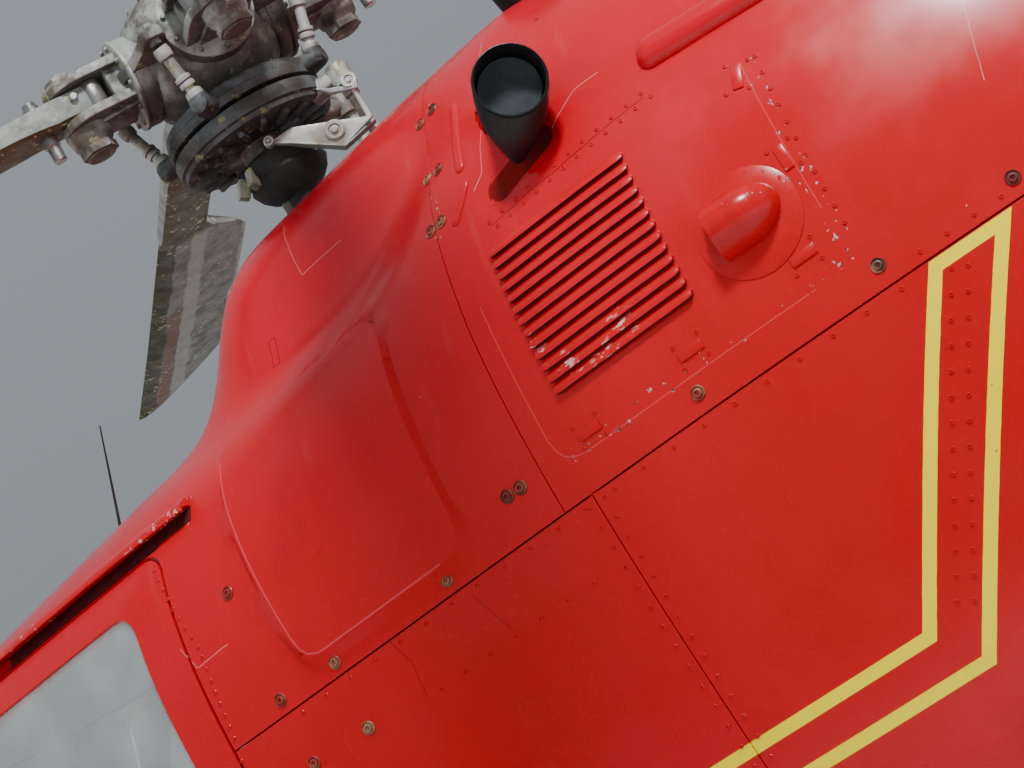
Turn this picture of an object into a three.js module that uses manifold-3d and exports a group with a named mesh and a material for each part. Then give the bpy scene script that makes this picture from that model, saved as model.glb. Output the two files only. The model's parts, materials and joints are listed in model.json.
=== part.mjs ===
// Light twin-engined helicopter on skids, with a four-armed rigid rotor whose blades are sawn off.
// Millimetres, +Z up, nose towards -Y, port side towards +X. While it is drawn, the rotor mast stands on
// x = 0, y = 0 and the skids on z = 0; the last lines move the whole to the middle of its own length.

import * as THREE from "three";
import { mergeVertices } from "three/addons/utils/BufferGeometryUtils.js";
import Module from "manifold-3d";

const wasm = await Module();
wasm.setup();

// Driving dimensions
const GAP = 0.4;              // between pieces that touch
const DOOR_GAP = 6;           // round everything that opens
const WALL = 30;              // cabin walls and doors
const COWL_WALL = 22;
const GLASS = 6;
const NOSE_Y = -2460;
const TAIL_END_Y = 6120;      // trailing edge of the parked tail rotor
const DECK_Z = 1540;          // seam between the fuselage and the cowling
const EAVE_Z = 1935;          // seam between the doors and the roof
const ROOF_END_Y = -470;      // where the roof begins to climb to the fairing
const DOOR_REAR_Y = -270;
const COWL_SPLIT_Y = 520;
const BOOM_Y = 2100;          // root of the tail boom
const HUB_Z = 2840;
const PRECONE = 0.8;          // degrees
const ROTOR_PARK = 45;        // degrees, the rotor is parked as an X
const FLOOR_Z = 620;
const SKID_X = 1225;
const SKID_RADIUS = 42;
const SKID_Z = 36;            // its underside is worn flat on a sole
const TAIL_HUB = [0, 5990, 2850];
const ENGINE_TOP_Z = 1950;
const MAST_HOLE = 245;        // radius of the hole that the mast and its rods come out of

// Fuselage, cowling and boom root in one table of stations along the body. The hump is the fairing round the
// mast: a narrower, boxy form that stands on the roof's own curve and meets it in a hollow fillet.
const STATIONS = [
  // y, half width, bottom, top, height of the waist, power of the upper curve, power of the lower curve,
  // half width of the hump, top of the hump
  [NOSE_Y, 60, 950, 1070, 1010, 2.0, 2.0, 480, 0],
  [-2440, 165, 865, 1145, 1007, 2.0, 2.0, 480, 0],
  [-2390, 285, 765, 1230, 1003, 2.0, 2.05, 480, 0],
  [-2290, 415, 665, 1350, 1000, 2.1, 2.15, 480, 0],
  [-2120, 540, 575, 1510, 1000, 2.2, 2.3, 480, 0],
  [-1850, 655, 500, 1735, 1005, 2.4, 2.5, 480, 0],
  [-1550, 735, 455, 1930, 1030, 2.7, 2.7, 480, 0],
  [-1350, 765, 442, 1998, 1050, 3, 2.8, 480, 0],
  [-1100, 784, 436, 2048, 1080, 3.3, 2.8, 480, 0],
  [-700, 790, 435, 2080, 1120, 3.5, 2.8, 480, 0],
  [ROOF_END_Y, 790, 435, 2100, 1140, 3.5, 2.8, 480, 1900],
  [-300, 790, 435, 2115, 1150, 3.5, 2.8, 480, 2060],
  [-215, 790, 435, 2117, 1150, 3.5, 2.8, 480, 2190],
  [-140, 790, 435, 2119, 1150, 3.5, 2.8, 480, 2300],
  [-75, 790, 435, 2121, 1150, 3.5, 2.8, 480, 2385],
  [20, 790, 435, 2125, 1150, 3.5, 2.8, 480, 2408],
  [250, 790, 437, 2160, 1150, 3.3, 2.8, 490, 2413],
  [430, 789, 440, 2240, 1150, 3.1, 2.8, 500, 2416],
  [600, 786, 445, 2360, 1150, 2.7, 2.75, 495, 2412],
  [780, 777, 455, 2400, 1152, 2.5, 2.7, 460, 2392],
  [1050, 735, 505, 2345, 1165, 2.36, 2.6, 400, 0],
  [1400, 635, 675, 2250, 1240, 2.18, 2.4, 400, 0],
  [1750, 455, 1050, 2145, 1480, 2.0, 2.2, 400, 0],
  [BOOM_Y, 285, 1465, 2035, 1750, 2.0, 2.0, 400, 0],
];
const HUMP_POWER = 4.5;
const HUMP_FILLET = 90;
const RING = 36;              // points round each outer station
const INNER_RING = 20;        // and round each inner one, which shows little

// Plain helpers that turn three.js shapes into solids and back
function solid(geometry) {
  geometry.deleteAttribute("normal");
  geometry.deleteAttribute("uv");
  const merged = mergeVertices(geometry, 1e-3);
  return new wasm.Manifold(new wasm.Mesh({
    numProp: 3,
    vertProperties: new Float32Array(merged.attributes.position.array),
    triVerts: new Uint32Array(merged.index.array),
  }));
}

function geometryOf(body) {
  const mesh = body.getMesh();
  const geometry = new THREE.BufferGeometry();
  geometry.setAttribute("position", new THREE.BufferAttribute(new Float32Array(mesh.vertProperties), 3));
  geometry.setIndex(new THREE.BufferAttribute(new Uint32Array(mesh.triVerts), 1));
  geometry.computeVertexNormals();
  return geometry;
}

function join(...bodies) {
  return bodies.reduce((whole, body) => whole.add(body));
}

function box(x, y, z) {
  const geometry = new THREE.BoxGeometry(x[1] - x[0], y[1] - y[0], z[1] - z[0]);
  geometry.translate((x[0] + x[1]) / 2, (y[0] + y[1]) / 2, (z[0] + z[1]) / 2);
  return solid(geometry);
}

// A cylinder or cone from one point to another
function rod(from, to, radius, endRadius = radius, sides = 16) {
  const start = new THREE.Vector3(...from);
  const way = new THREE.Vector3(...to).sub(start);
  const geometry = new THREE.CylinderGeometry(endRadius, radius, way.length(), sides);
  geometry.translate(0, way.length() / 2, 0);
  geometry.applyQuaternion(new THREE.Quaternion().setFromUnitVectors(
    new THREE.Vector3(0, 1, 0), way.clone().normalize()));
  geometry.translate(...from);
  return solid(geometry);
}

// A round bar along a list of points
function bar(points, radius, steps, sides = 12) {
  const curve = new THREE.CatmullRomCurve3(points.map((p) => new THREE.Vector3(...p)), false, "centripetal");
  const section = new THREE.Shape();
  section.absarc(0, 0, radius, 0, 2 * Math.PI, false);
  return solid(new THREE.ExtrudeGeometry(section, {
    extrudePath: curve, steps, curveSegments: sides / 2, bevelEnabled: false }));
}

// A plate whose outline is drawn in the side view as [y, z], from x[0] to x[1]
function sidePlate(outline, x) {
  const shape = new THREE.Shape(outline.map(([y, z]) => new THREE.Vector2(y, z)));
  const geometry = new THREE.ExtrudeGeometry(shape, { depth: x[1] - x[0], bevelEnabled: false });
  const turn = new THREE.Matrix4().makeBasis(
    new THREE.Vector3(0, 1, 0), new THREE.Vector3(0, 0, 1), new THREE.Vector3(1, 0, 0));
  geometry.applyMatrix4(turn);
  geometry.translate(x[0], 0, 0);
  return solid(geometry);
}

// A plate whose outline is drawn from above as [x, y], from z[0] to z[1]
function flatPlate(outline, z) {
  const shape = new THREE.Shape(outline.map(([x, y]) => new THREE.Vector2(x, y)));
  const geometry = new THREE.ExtrudeGeometry(shape, { depth: z[1] - z[0], bevelEnabled: false });
  geometry.translate(0, 0, z[0]);
  return solid(geometry);
}

// Corners of an outline cut back by arcs
function rounded(outline, radius, steps = 4) {
  const points = [];
  outline.forEach((corner, i) => {
    const here = new THREE.Vector2(...corner);
    const before = new THREE.Vector2(...outline[(i + outline.length - 1) % outline.length]);
    const after = new THREE.Vector2(...outline[(i + 1) % outline.length]);
    const back = before.clone().sub(here);
    const ahead = after.clone().sub(here);
    const reach = Math.min(radius, back.length() * 0.45, ahead.length() * 0.45);
    const start = here.clone().addScaledVector(back.normalize(), reach);
    const end = here.clone().addScaledVector(ahead.normalize(), reach);
    for (let k = 0; k <= steps; k += 1) {
      const t = k / steps;
      points.push([
        (1 - t) ** 2 * start.x + 2 * t * (1 - t) * here.x + t ** 2 * end.x,
        (1 - t) ** 2 * start.y + 2 * t * (1 - t) * here.y + t ** 2 * end.y,
      ]);
    }
  });
  return points;
}

// The same outline, moved out or in along its own normals
function grown(outline, by) {
  const turning = THREE.ShapeUtils.area(outline.map(([y, z]) => new THREE.Vector2(y, z))) > 0 ? 1 : -1;
  return outline.map(([y, z], i) => {
    const [py, pz] = outline[(i + outline.length - 1) % outline.length];
    const [ny, nz] = outline[(i + 1) % outline.length];
    const a = new THREE.Vector2(z - pz, py - y).normalize();
    const b = new THREE.Vector2(nz - z, y - ny).normalize();
    const out = a.add(b).normalize().multiplyScalar(turning * by);
    return [y + out.x, z + out.y];
  });
}

// Mesh of rings of points, closed at both ends
function skin(rings) {
  const n = rings[0].length;
  const positions = rings.flat(2);
  const index = [];
  for (let r = 0; r < rings.length - 1; r += 1) {
    for (let i = 0; i < n; i += 1) {
      const a = r * n + i;
      const b = r * n + (i + 1) % n;
      index.push(a, b, b + n, a, b + n, a + n);
    }
  }
  const last = (rings.length - 1) * n;
  for (let i = 1; i < n - 1; i += 1) {
    index.push(0, i + 1, i);
    index.push(last, last + i, last + i + 1);
  }
  const geometry = new THREE.BufferGeometry();
  geometry.setAttribute("position", new THREE.BufferAttribute(new Float32Array(positions), 3));
  geometry.setIndex(index);
  return solid(geometry);
}

// Reach of a rounded box from its middle, in the direction (c, s)
function reach(c, s, halfWidth, height, power) {
  return (Math.abs(c / halfWidth) ** power + Math.abs(s / height) ** power) ** (-1 / power);
}

// Reach of a whole station in one direction: the body's curve, and above it the hump with its fillet
function sectionReach(c, s, [, halfWidth, bottom, top, waist, upper, lower, humpHalf, humpTop], inset) {
  if (s <= 0) return reach(c, s, halfWidth - inset, waist - bottom - inset, lower);
  const base = reach(c, s, halfWidth - inset, top - inset - waist, upper);
  if (humpTop - inset < waist + 200) return base;
  const hump = reach(c, s, humpHalf - inset, humpTop - inset - waist, HUMP_POWER);
  const close = Math.max(HUMP_FILLET - Math.abs(base - hump), 0) / HUMP_FILLET;
  return Math.max(base, hump) + close * close * HUMP_FILLET / 4;
}

function station(row, inset, count = RING) {
  const [y, halfWidth, bottom, top, waist, upper, lower] = row;
  const ring = [];
  for (let i = 0; i < count; i += 1) {
    const turn = (i + 0.5) / count * 2 * Math.PI;
    const power = Math.sin(turn) > 0 ? upper : lower;
    const high = Math.sin(turn) > 0 ? top - waist : waist - bottom;
    const x = Math.sign(Math.cos(turn)) * Math.abs(Math.cos(turn)) ** (2 / power) * halfWidth;
    const z = Math.sign(Math.sin(turn)) * Math.abs(Math.sin(turn)) ** (2 / power) * high;
    const far = Math.hypot(x, z);
    const length = sectionReach(x / far, z / far, row, inset);
    ring.push([x / far * length, y, waist + z / far * length]);
  }
  return ring;
}

// The whole body's outer form, or the same form moved inwards
function body(inset, count = RING) {
  const rows = STATIONS.filter(([y, halfWidth]) => halfWidth - inset > 25 || inset === 0);
  const rings = rows.map((row) => station(row, inset, count));
  if (inset > 0) {
    rings[0].forEach((point) => { point[1] = Math.max(point[1], NOSE_Y + inset); });
  }
  return skin(rings.map((ring) => ring.slice().reverse()));
}

// Place on the body's side at a distance along it and a height: how far out it is, and the way it faces
function onSide(y, z) {
  const i = Math.max(0, STATIONS.findIndex((row) => row[0] > y) - 1);
  const share = (y - STATIONS[i][0]) / (STATIONS[i + 1][0] - STATIONS[i][0]);
  const row = STATIONS[i].map((value, c) => value + (STATIONS[i + 1][c] - value) * share);
  const waist = row[4];
  const at = (height) => {
    let low = 0;
    let high = Math.PI / 2;
    for (let k = 0; k < 40; k += 1) {
      const angle = (low + high) / 2;
      const far = sectionReach(Math.cos(angle), Math.sign(height - waist) * Math.sin(angle), row, 0);
      if (far * Math.sin(angle) < Math.abs(height - waist)) low = angle;
      else high = angle;
    }
    return sectionReach(Math.cos(low), Math.sign(height - waist) * Math.sin(low), row, 0) * Math.cos(low);
  };
  const lean = Math.atan2(at(z - 10) - at(z + 10), 20);
  return { x: at(z), lean };
}

// A moulding that follows the port side. Each place is [y, z, outline], and an outline is [out, up] round it.
function moulding(places) {
  return skin(places.map(([y, z, outline]) => {
    const { x, lean } = onSide(y, z);
    return outline.map(([out, up]) => [
      x + out * Math.cos(lean) - up * Math.sin(lean),
      y,
      z + out * Math.sin(lean) + up * Math.cos(lean),
    ]).reverse();
  }));
}

const mirrored = (piece, side) => (side > 0 ? piece : piece.mirror([1, 0, 0]));

const OUTER = body(0);
const INNER = body(WALL, INNER_RING);
const COWL_INNER = body(COWL_WALL, INNER_RING);
const ROOM = body(WALL + GAP, INNER_RING);
const SHELL = OUTER.subtract(INNER);
const COWL_SHELL = OUTER.subtract(COWL_INNER);
const WIDE = 2000;

// Outlines of doors and windows in the side view, as [y, z]
const FRONT_DOOR = [[-1960, 690], [-1960, 1180], [-1545, 1770], [-1440, 1885], [-1340, EAVE_Z - 8],
  [-1082, EAVE_Z - 8], [-1082, 620], [-1880, 620]];
const FRONT_WINDOW = [[-1880, 1090], [-1880, 1200], [-1500, 1745], [-1390, 1850], [-1155, 1865], [-1155, 1050],
  [-1840, 1050]];
const SLIDE_DOOR = [[-1070, EAVE_Z - 8], [DOOR_REAR_Y, EAVE_Z - 8], [DOOR_REAR_Y, 620], [-1070, 620]];
const SLIDE_WINDOW = [[-990, 1868], [-365, 1868], [-345, 1100], [-990, 1050]];
const SEAM_TOP = [1452, 1430];     // upper end of the seam of the rear doors, as [y, z]
const SEAM_FOOT = [850, 380];
const REAR_DOORS = [SEAM_TOP, [2300, 1430], [2300, 380], SEAM_FOOT];
const DOOR_INNER_X = 465;          // nothing of a side door is nearer the middle than this

const corners = (outline, radius) => rounded(outline, radius);
const portAndStarboard = (outline, from = DOOR_INNER_X) => join(
  sidePlate(outline, [from, WIDE]), sidePlate(outline, [-WIDE, -from]));

// Fuselage
function podShell() {
  const upper = box([-WIDE, WIDE], [-262, BOOM_Y + 1], [DECK_Z, 3000]);
  const roof = box([-WIDE, WIDE], [-1560, 0], [EAVE_Z, 3000]);
  const screen = box([-WIDE, WIDE], [NOSE_Y - 10, -1560], [1150, 3000]);
  const doors = portAndStarboard(grown(corners(FRONT_DOOR, 60), DOOR_GAP))
    .add(portAndStarboard(grown(corners(SLIDE_DOOR, 50), DOOR_GAP)));
  const rear = sidePlate(grown(REAR_DOORS, DOOR_GAP), [-WIDE, WIDE]);
  return SHELL.subtract(upper).subtract(roof).subtract(screen).subtract(doors).subtract(rear)
    .subtract(chinWindows(0));
}

function chinWindows(less) {
  const outline = [[-2360, 800], [-2360, 1060], [-2040, 1060], [-2040, 640], [-2160, 640]];
  return portAndStarboard(grown(corners(outline, 60), -less), 60 + less);
}

function screenOpenings(less) {
  const outline = [[-2420, 1185], [-1610, 1185], [-1610, 1880], [-1900, 1880], [-2420, 1500]];
  const sideCut = portAndStarboard(grown(corners(outline, 40), -less), 30 + less);
  const pillar = portAndStarboard(grown(corners(FRONT_DOOR, 60), 75 + less), DOOR_INNER_X - 50 - less);
  return sideCut.subtract(pillar);
}

function windscreenFrame() {
  const zone = box([-WIDE, WIDE], [NOSE_Y - 10, -1560 - GAP], [1150 + GAP, 3000]);
  return SHELL.intersect(zone).subtract(screenOpenings(0))
    .subtract(portAndStarboard(grown(corners(FRONT_DOOR, 60), DOOR_GAP)));
}

function cabinRoof() {
  const zone = box([-WIDE, WIDE], [-1560, ROOF_END_Y - GAP], [EAVE_Z + GAP, 3000]);
  return SHELL.intersect(zone).subtract(portAndStarboard(grown(corners(FRONT_DOOR, 60), DOOR_GAP)));
}

// Rail along the eave that the sliding door hangs from
function doorRail(side) {
  const section = (out) => [[0, -14], [out, -20], [out + 3, 0], [out - 6, 12], [0, 26]];
  const rail = moulding([[-1090, 16], [-1000, 27], [-700, 30], [-400, 30], [-165, 20]]
    .map(([y, out]) => [y, EAVE_Z + 20, section(out)]));
  return mirrored(rail.subtract(body(-GAP)), side);
}

function pane(opening) {
  return body(6).subtract(body(6 + GLASS)).intersect(opening);
}

function half(piece, side) {
  return piece.intersect(side > 0 ? box([5, WIDE], [-9000, 9000], [0, 4000])
    : box([-WIDE, -5], [-9000, 9000], [0, 4000]));
}

function sideDoor(outline, window, radius) {
  return SHELL.intersect(portAndStarboard(corners(outline, radius)))
    .subtract(portAndStarboard(corners(window, 45)));
}

function doorGlass(window) {
  return pane(portAndStarboard(grown(corners(window, 45), -GAP)));
}

function rearDoors() {
  return SHELL.intersect(sidePlate(REAR_DOORS, [-WIDE, WIDE]))
    .subtract(box([-DOOR_GAP / 2, DOOR_GAP / 2], [0, 3000], [0, 3000]));
}

function cabinFloor() {
  return ROOM.intersect(box([-WIDE, WIDE], [-2100, 1080], [FLOOR_Z - 25, FLOOR_Z]));
}

function engineDeck() {
  const deck = box([-WIDE, WIDE], [-262, 1900], [1485, DECK_Z - GAP]);
  const wall = box([-WIDE, WIDE], [-262, -236], [1485, 2060]);
  return ROOM.intersect(deck.add(wall));
}

// Cowling
const EXHAUST_RADIUS = 63;
const ELBOW = { x: 345, y: 598, z: 2166 };   // where an outer exhaust turns outwards

function exhaustAxis(side, inboard) {
  return inboard
    ? [[side * 110, 700, 1930], [side * 225, 745, 2495]]
    : [[side * ELBOW.x, ELBOW.y, ELBOW.z], [side * 670, 808, 2168]];
}

function transmissionFairing() {
  const front = box([-WIDE, WIDE], [ROOF_END_Y, COWL_SPLIT_Y], [EAVE_Z + GAP, 3000]);
  const side = box([-WIDE, WIDE], [-262 + GAP, COWL_SPLIT_Y], [DECK_Z + GAP, 3000]);
  const mastHole = rod([0, 0, 2200], [0, 0, 2700], MAST_HOLE, MAST_HOLE, 28);
  return COWL_SHELL.intersect(front.add(side)).subtract(mastHole);
}

const LOUVRES = { front: 582, back: 868, low: 1708, high: 1982, count: 13, out: 13 };
const SCOOP = { y: 1000, z: 1748, long: 74, wide: 58, out: 62, flange: 86 };
const LONG_BLISTER = { front: 930, back: 1290, z: 2082, radius: 26 };

// A shape drawn at the origin with +X outwards, set on the body's port side
function setOnSide(piece, y, z) {
  const { x, lean } = onSide(y, z);
  return piece.rotate([0, -lean * 180 / Math.PI, 0]).translate([x, y, z]);
}

// Slats of the engine bay, each a hood that stands out along its lower edge
function louvres() {
  const { front, back, low, high, count, out } = LOUVRES;
  const pitch = (high - low) / (count - 1);
  const outline = [[-8, pitch * 0.42], [-8, -pitch * 0.36], [out, -pitch * 0.36], [out - 4, -pitch * 0.1],
    [0.5, pitch * 0.42]];
  const slats = [];
  for (let i = 0; i < count; i += 1) {
    slats.push(moulding([front, back].map((y) => [y, low + pitch * i, outline])));
  }
  return join(...slats);
}

function scoop() {
  const { y, z, long, wide, out, flange } = SCOOP;
  const dome = new THREE.SphereGeometry(1, 12, 8);
  dome.scale(out, long, wide);
  const mouth = box([8, 80], [-120, -long * 0.55], [-40, 40]);
  return setOnSide(solid(dome).subtract(mouth).add(rod([-14, 0, 0], [4, 0, 0], flange, flange, 20)), y, z);
}

function longBlister() {
  const { front, back, z, radius } = LONG_BLISTER;
  const capsule = solid(new THREE.CapsuleGeometry(radius, back - front - 2 * radius, 3, 10));
  return setOnSide(capsule, (front + back) / 2, z);
}

function engineCowling() {
  const zone = box([-WIDE, WIDE], [COWL_SPLIT_Y + GAP, BOOM_Y], [DECK_Z + GAP, 3000]);
  const forms = join(louvres(), scoop(), longBlister());
  let piece = COWL_SHELL.intersect(zone).add(forms).add(mirrored(forms, -1));
  for (const side of [1, -1]) {
    for (const inboard of [false, true]) {
      const [from, to] = exhaustAxis(side, inboard);
      piece = piece.subtract(rod(from, to, EXHAUST_RADIUS + 8, EXHAUST_RADIUS + 8, 20));
    }
  }
  return piece;
}

// One blind pipe that stands on its engine
function exhaust(side, inboard) {
  const [from, to] = exhaustAxis(side, inboard);
  const past = to.map((value, i) => value + (value - from[i]) * 0.1);
  const deep = to.map((value, i) => value + (from[i] - value) * 0.6);
  const bore = EXHAUST_RADIUS - 7;
  const x = side * ELBOW.x;
  const riser = rod([x, ELBOW.y, ENGINE_TOP_Z], [x, ELBOW.y, ELBOW.z + EXHAUST_RADIUS / 2],
    EXHAUST_RADIUS, EXHAUST_RADIUS, 20);
  const pipe = rod(from, to, EXHAUST_RADIUS, EXHAUST_RADIUS, 20);
  return (inboard ? pipe : join(pipe, riser)).subtract(rod(deep, past, bore, bore, 20))
    .subtract(box([-WIDE, WIDE], [0, 2000], [1500, ENGINE_TOP_Z + GAP]));
}

// Tail
function boomStations() {
  // y, radius, height of the centre
  const rows = [[BOOM_Y + GAP, 284, 1750], [3300, 235, 1782], [4500, 190, 1812], [5420, 155, 1835],
    [5640, 120, 1845], [5720, 60, 1850]];
  return rows.map(([y, radius, z]) => [y, radius, z - radius, z + radius, z, 2, 2, radius, 0]);
}

function tailBoom() {
  const outer = skin(boomStations().map((row) => station(row, 0).reverse()));
  const rows = boomStations().slice(0, 4);
  rows[0][0] -= 50;
  const inner = skin(rows.map((row) => station(row, 14).reverse()));
  return outer.subtract(inner).subtract(tailFinBlade(GAP)).subtract(stabiliserBlade(GAP));
}

function driveCover() {
  const rings = [[BOOM_Y + 40, 2029], [3300, 2013], [4500, 1998], [5070, 1990]].map(([y, z]) => {
    const ring = [];
    for (let i = 0; i <= 10; i += 1) {
      const a = i / 10 * Math.PI;
      ring.push([62 * Math.cos(a), y, z + 75 * Math.sin(a)]);
    }
    ring.push([-62, y, z - 40], [62, y, z - 40]);
    return ring.reverse();
  });
  const boom = skin(boomStations().map((row) => station(row, -GAP).reverse()));
  return skin(rings).subtract(boom);
}

// Outline of the fin in the side view, as [y, z]
const FIN = [[5080, 1980], [5800, 2890], [5870, 2960], [6060, 2960], [6100, 2900], [5905, 2000], [5760, 1760],
  [5300, 1760]];

function tailFinBlade(more) {
  const thick = 42 + more;
  return sidePlate(grown(FIN, more), [-thick, thick]);
}

function tailFin() {
  const gearbox = rod([-70, TAIL_HUB[1], TAIL_HUB[2]], [150, TAIL_HUB[1], TAIL_HUB[2]], 85, 70, 20);
  return tailFinBlade(0).add(gearbox);
}

function stabiliserBlade(more) {
  const profile = [[4790, 1800], [4790, 1830], [4900, 1842], [5150, 1822], [5150, 1812], [4900, 1795]];
  const outline = rounded(profile, 12, 2);
  return sidePlate(more > 0 ? grown(outline, more) : outline, [-1250, 1250]);
}

function endPlate(side) {
  const outline = rounded([[4720, 1560], [4800, 2080], [5080, 2080], [5230, 1560]], 60, 3);
  const x = side > 0 ? [1250 + GAP, 1276] : [-1276, -1250 - GAP];
  return sidePlate(outline, x);
}

function tailSkid() {
  return bar([[0, 5330, 1720], [0, 5480, 1560], [0, 5640, 1340], [0, 5760, 1230], [0, 5850, 1215]], 22, 12, 8)
    .subtract(skin(boomStations().map((row) => station(row, -GAP).reverse()))).subtract(tailFinBlade(GAP));
}

// Landing gear
function skid(side) {
  const x = side * SKID_X;
  return bar([[x, -2080, 330], [x, -2030, 200], [x, -1940, 95], [x, -1780, 42], [x, -1500, SKID_Z],
    [x, 0, SKID_Z], [x, 1150, SKID_Z]], SKID_RADIUS, 16, 12)
    .subtract(box([-WIDE, WIDE], [-3000, 3000], [-60, 0]));
}

function crossTube(y) {
  const half = [[SKID_X, y, 125], [1120, y, 250], [960, y, 345], [760, y, 395], [450, y, 400]];
  const points = half.concat(half.slice().reverse().map(([x, yy, z]) => [-x, yy, z]));
  const tube = bar(points, 32, 20, 8);
  const saddles = [1, -1].map((side) => join(
    rod([side * SKID_X, y, SKID_Z + SKID_RADIUS + GAP], [side * SKID_X, y, 150], 40, 40, 12)));
  return join(tube, ...saddles);
}

// Seats and panel
function seat(x) {
  return join(
    box([x - 230, x + 230], [-1700, -1230], [860, 885]),
    box([x - 230, x + 230], [-1255, -1230], [860, 1500]),
    box([x - 180, x + 180], [-1640, -1280], [FLOOR_Z + GAP, 861]));
}

function seatCushion(x) {
  return join(
    box([x - 215, x + 215], [-1690, -1260], [885 + GAP, 965]),
    box([x - 215, x + 215], [-1330, -1255 - GAP], [885 + GAP, 1490]));
}

function bench() {
  return join(
    box([-600, 600], [-720, -330], [880, 905]),
    box([-600, 600], [-355, -330], [880, 1460]),
    box([-560, 560], [-660, -400], [FLOOR_Z + GAP, 881]));
}

function benchCushion() {
  return join(
    box([-590, 590], [-715, -360], [905 + GAP, 990]),
    box([-590, 590], [-435, -355 - GAP], [905 + GAP, 1450]));
}

function instrumentPanel() {
  return join(
    sidePlate([[-2120, 1000], [-2060, 1190], [-1930, 1200], [-1990, 990]], [-400, 400]),
    sidePlate([[-2080, FLOOR_Z + GAP], [-2080, 1010], [-1960, 1010], [-1840, 900], [-1820, FLOOR_Z + GAP]],
      [-90, 90]));
}

// Rotor head
const MAST_RADIUS = 52;
const ROOT_HALF = 30;         // half thickness of a blade's root
const BLADE_ROOT_X = 228;
const PIN_X = 290;
const OUTER_PIN_X = 368;      // second pin, through the blade's neck only
const OUTER_PIN_Z = [-84, 58];
const OUTER_PIN_RADIUS = 14;
const HORN = [125, 195, -30];  // where the pitch link meets an arm's horn
const LINK_ANGLE = Math.atan2(HORN[1], HORN[0]);
const LINK_FOOT_R = 196;
const GEARBOX_TOP = 2350;
const TURNING_RING_Z = [2655, 2700];
const FIXED_RING_Z = [2600, 2648];

// One arm of the head along +X, with its collar, fork, vertical pin and pitch horn
function arm() {
  const sleeve = join(
    rod([0, 0, 0], [90, 0, 0], 96, 90, 12),
    rod([85, 0, 0], [145, 0, 0], 90, 82, 12));
  const collar = join(rod([138, 0, 0], [170, 0, 0], 92, 94, 16), rod([170, 0, 0], [184, 0, 0], 94, 80, 16));
  const plate = [[165, -72], [235, -72], [PIN_X - 10, -64], [PIN_X + 30, -44], [PIN_X + 50, 0],
    [PIN_X + 30, 44], [PIN_X - 10, 64], [235, 72], [165, 72]];
  const plates = [[ROOT_HALF + GAP, ROOT_HALF + 22], [-ROOT_HALF - 22, -ROOT_HALF - GAP]].map((z) => (
    flatPlate(plate, z)));
  const pin = join(rod([PIN_X, 0, -112], [PIN_X, 0, 84], 20, 20, 8),
    rod([PIN_X, 0, ROOT_HALF + 18], [PIN_X, 0, 70], 38, 32, 10),
    rod([PIN_X, 0, -104], [PIN_X, 0, -ROOT_HALF - 18], 34, 44, 10));
  const horn = flatPlate([[80, 40], [210, 40], [HORN[0] + 32, HORN[1]], [HORN[0], HORN[1] + 26],
    [HORN[0] - 32, HORN[1]]], [HORN[2] + 12, HORN[2] + 42]);
  return join(sleeve, collar, ...plates, pin, horn).rotate([0, -PRECONE, 0]);
}

function hub() {
  const parts = [
    rod([0, 0, -135], [0, 0, -60], 96, 150, 20),
    rod([0, 0, -60], [0, 0, 70], 150, 150, 20),
    rod([0, 0, 70], [0, 0, 125], 150, 105, 20),
    rod([0, 0, 125], [0, 0, 150], 78, 60, 16),
  ];
  for (let k = 0; k < 4; k += 1) {
    parts.push(arm().rotate([0, 0, ROTOR_PARK + 90 * k]));
  }
  const mast = rod([0, 0, GEARBOX_TOP + GAP - HUB_Z], [0, 0, -100], MAST_RADIUS, MAST_RADIUS, 16);
  return join(...parts, mast).translate([0, 0, HUB_Z]);
}

// Aerofoil cut at a place along the blade: chord from leading to trailing edge, as [y, z]
function aerofoil(lead, trail, thick) {
  const n = 6;
  const upper = [];
  const lower = [];
  for (let i = 0; i <= n; i += 1) {
    const t = (1 - Math.cos(i / n * Math.PI)) / 2;
    const y = lead + (trail - lead) * t;
    const h = thick * (1.48 * Math.sqrt(t) - 0.63 * t - 1.76 * t ** 2 + 1.42 * t ** 3 - 0.51 * t ** 4);
    upper.push([y, Math.max(h, 1.2)]);
    lower.push([y, -Math.max(h, 1.2)]);
  }
  return [...upper, ...lower.reverse()];
}

const BLADE_LEAD = 57;        // leading edge ahead of the arm's middle line
const BLADE_TRAIL = -213;
const NECK_TRAIL = -74;
const LONGEST_CUT = 2550;     // leading corner of the longest blade stub

// Places along a blade: x at the leading edge, x at the trailing edge, leading y, trailing y, thickness, sag,
// and the y behind which the x changes
const BLADE_ROWS = [
  [BLADE_ROOT_X, BLADE_ROOT_X, 50, -50, 58, 0, 50],
  [345, 345, 46, -46, 58, 0, 46],
  [430, 430, 55, -62, 52, -3, 55],
  [560, 560, BLADE_LEAD, NECK_TRAIL, 50, -8, BLADE_LEAD],
  [1020, 1020, BLADE_LEAD, NECK_TRAIL, 42, -26, BLADE_LEAD],
  [1026, 1213, BLADE_LEAD, BLADE_TRAIL, 32, -27, NECK_TRAIL],
  [1500, 1500, BLADE_LEAD, BLADE_TRAIL, 32, -38, BLADE_LEAD],
];
const END_SAG = -54;

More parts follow.
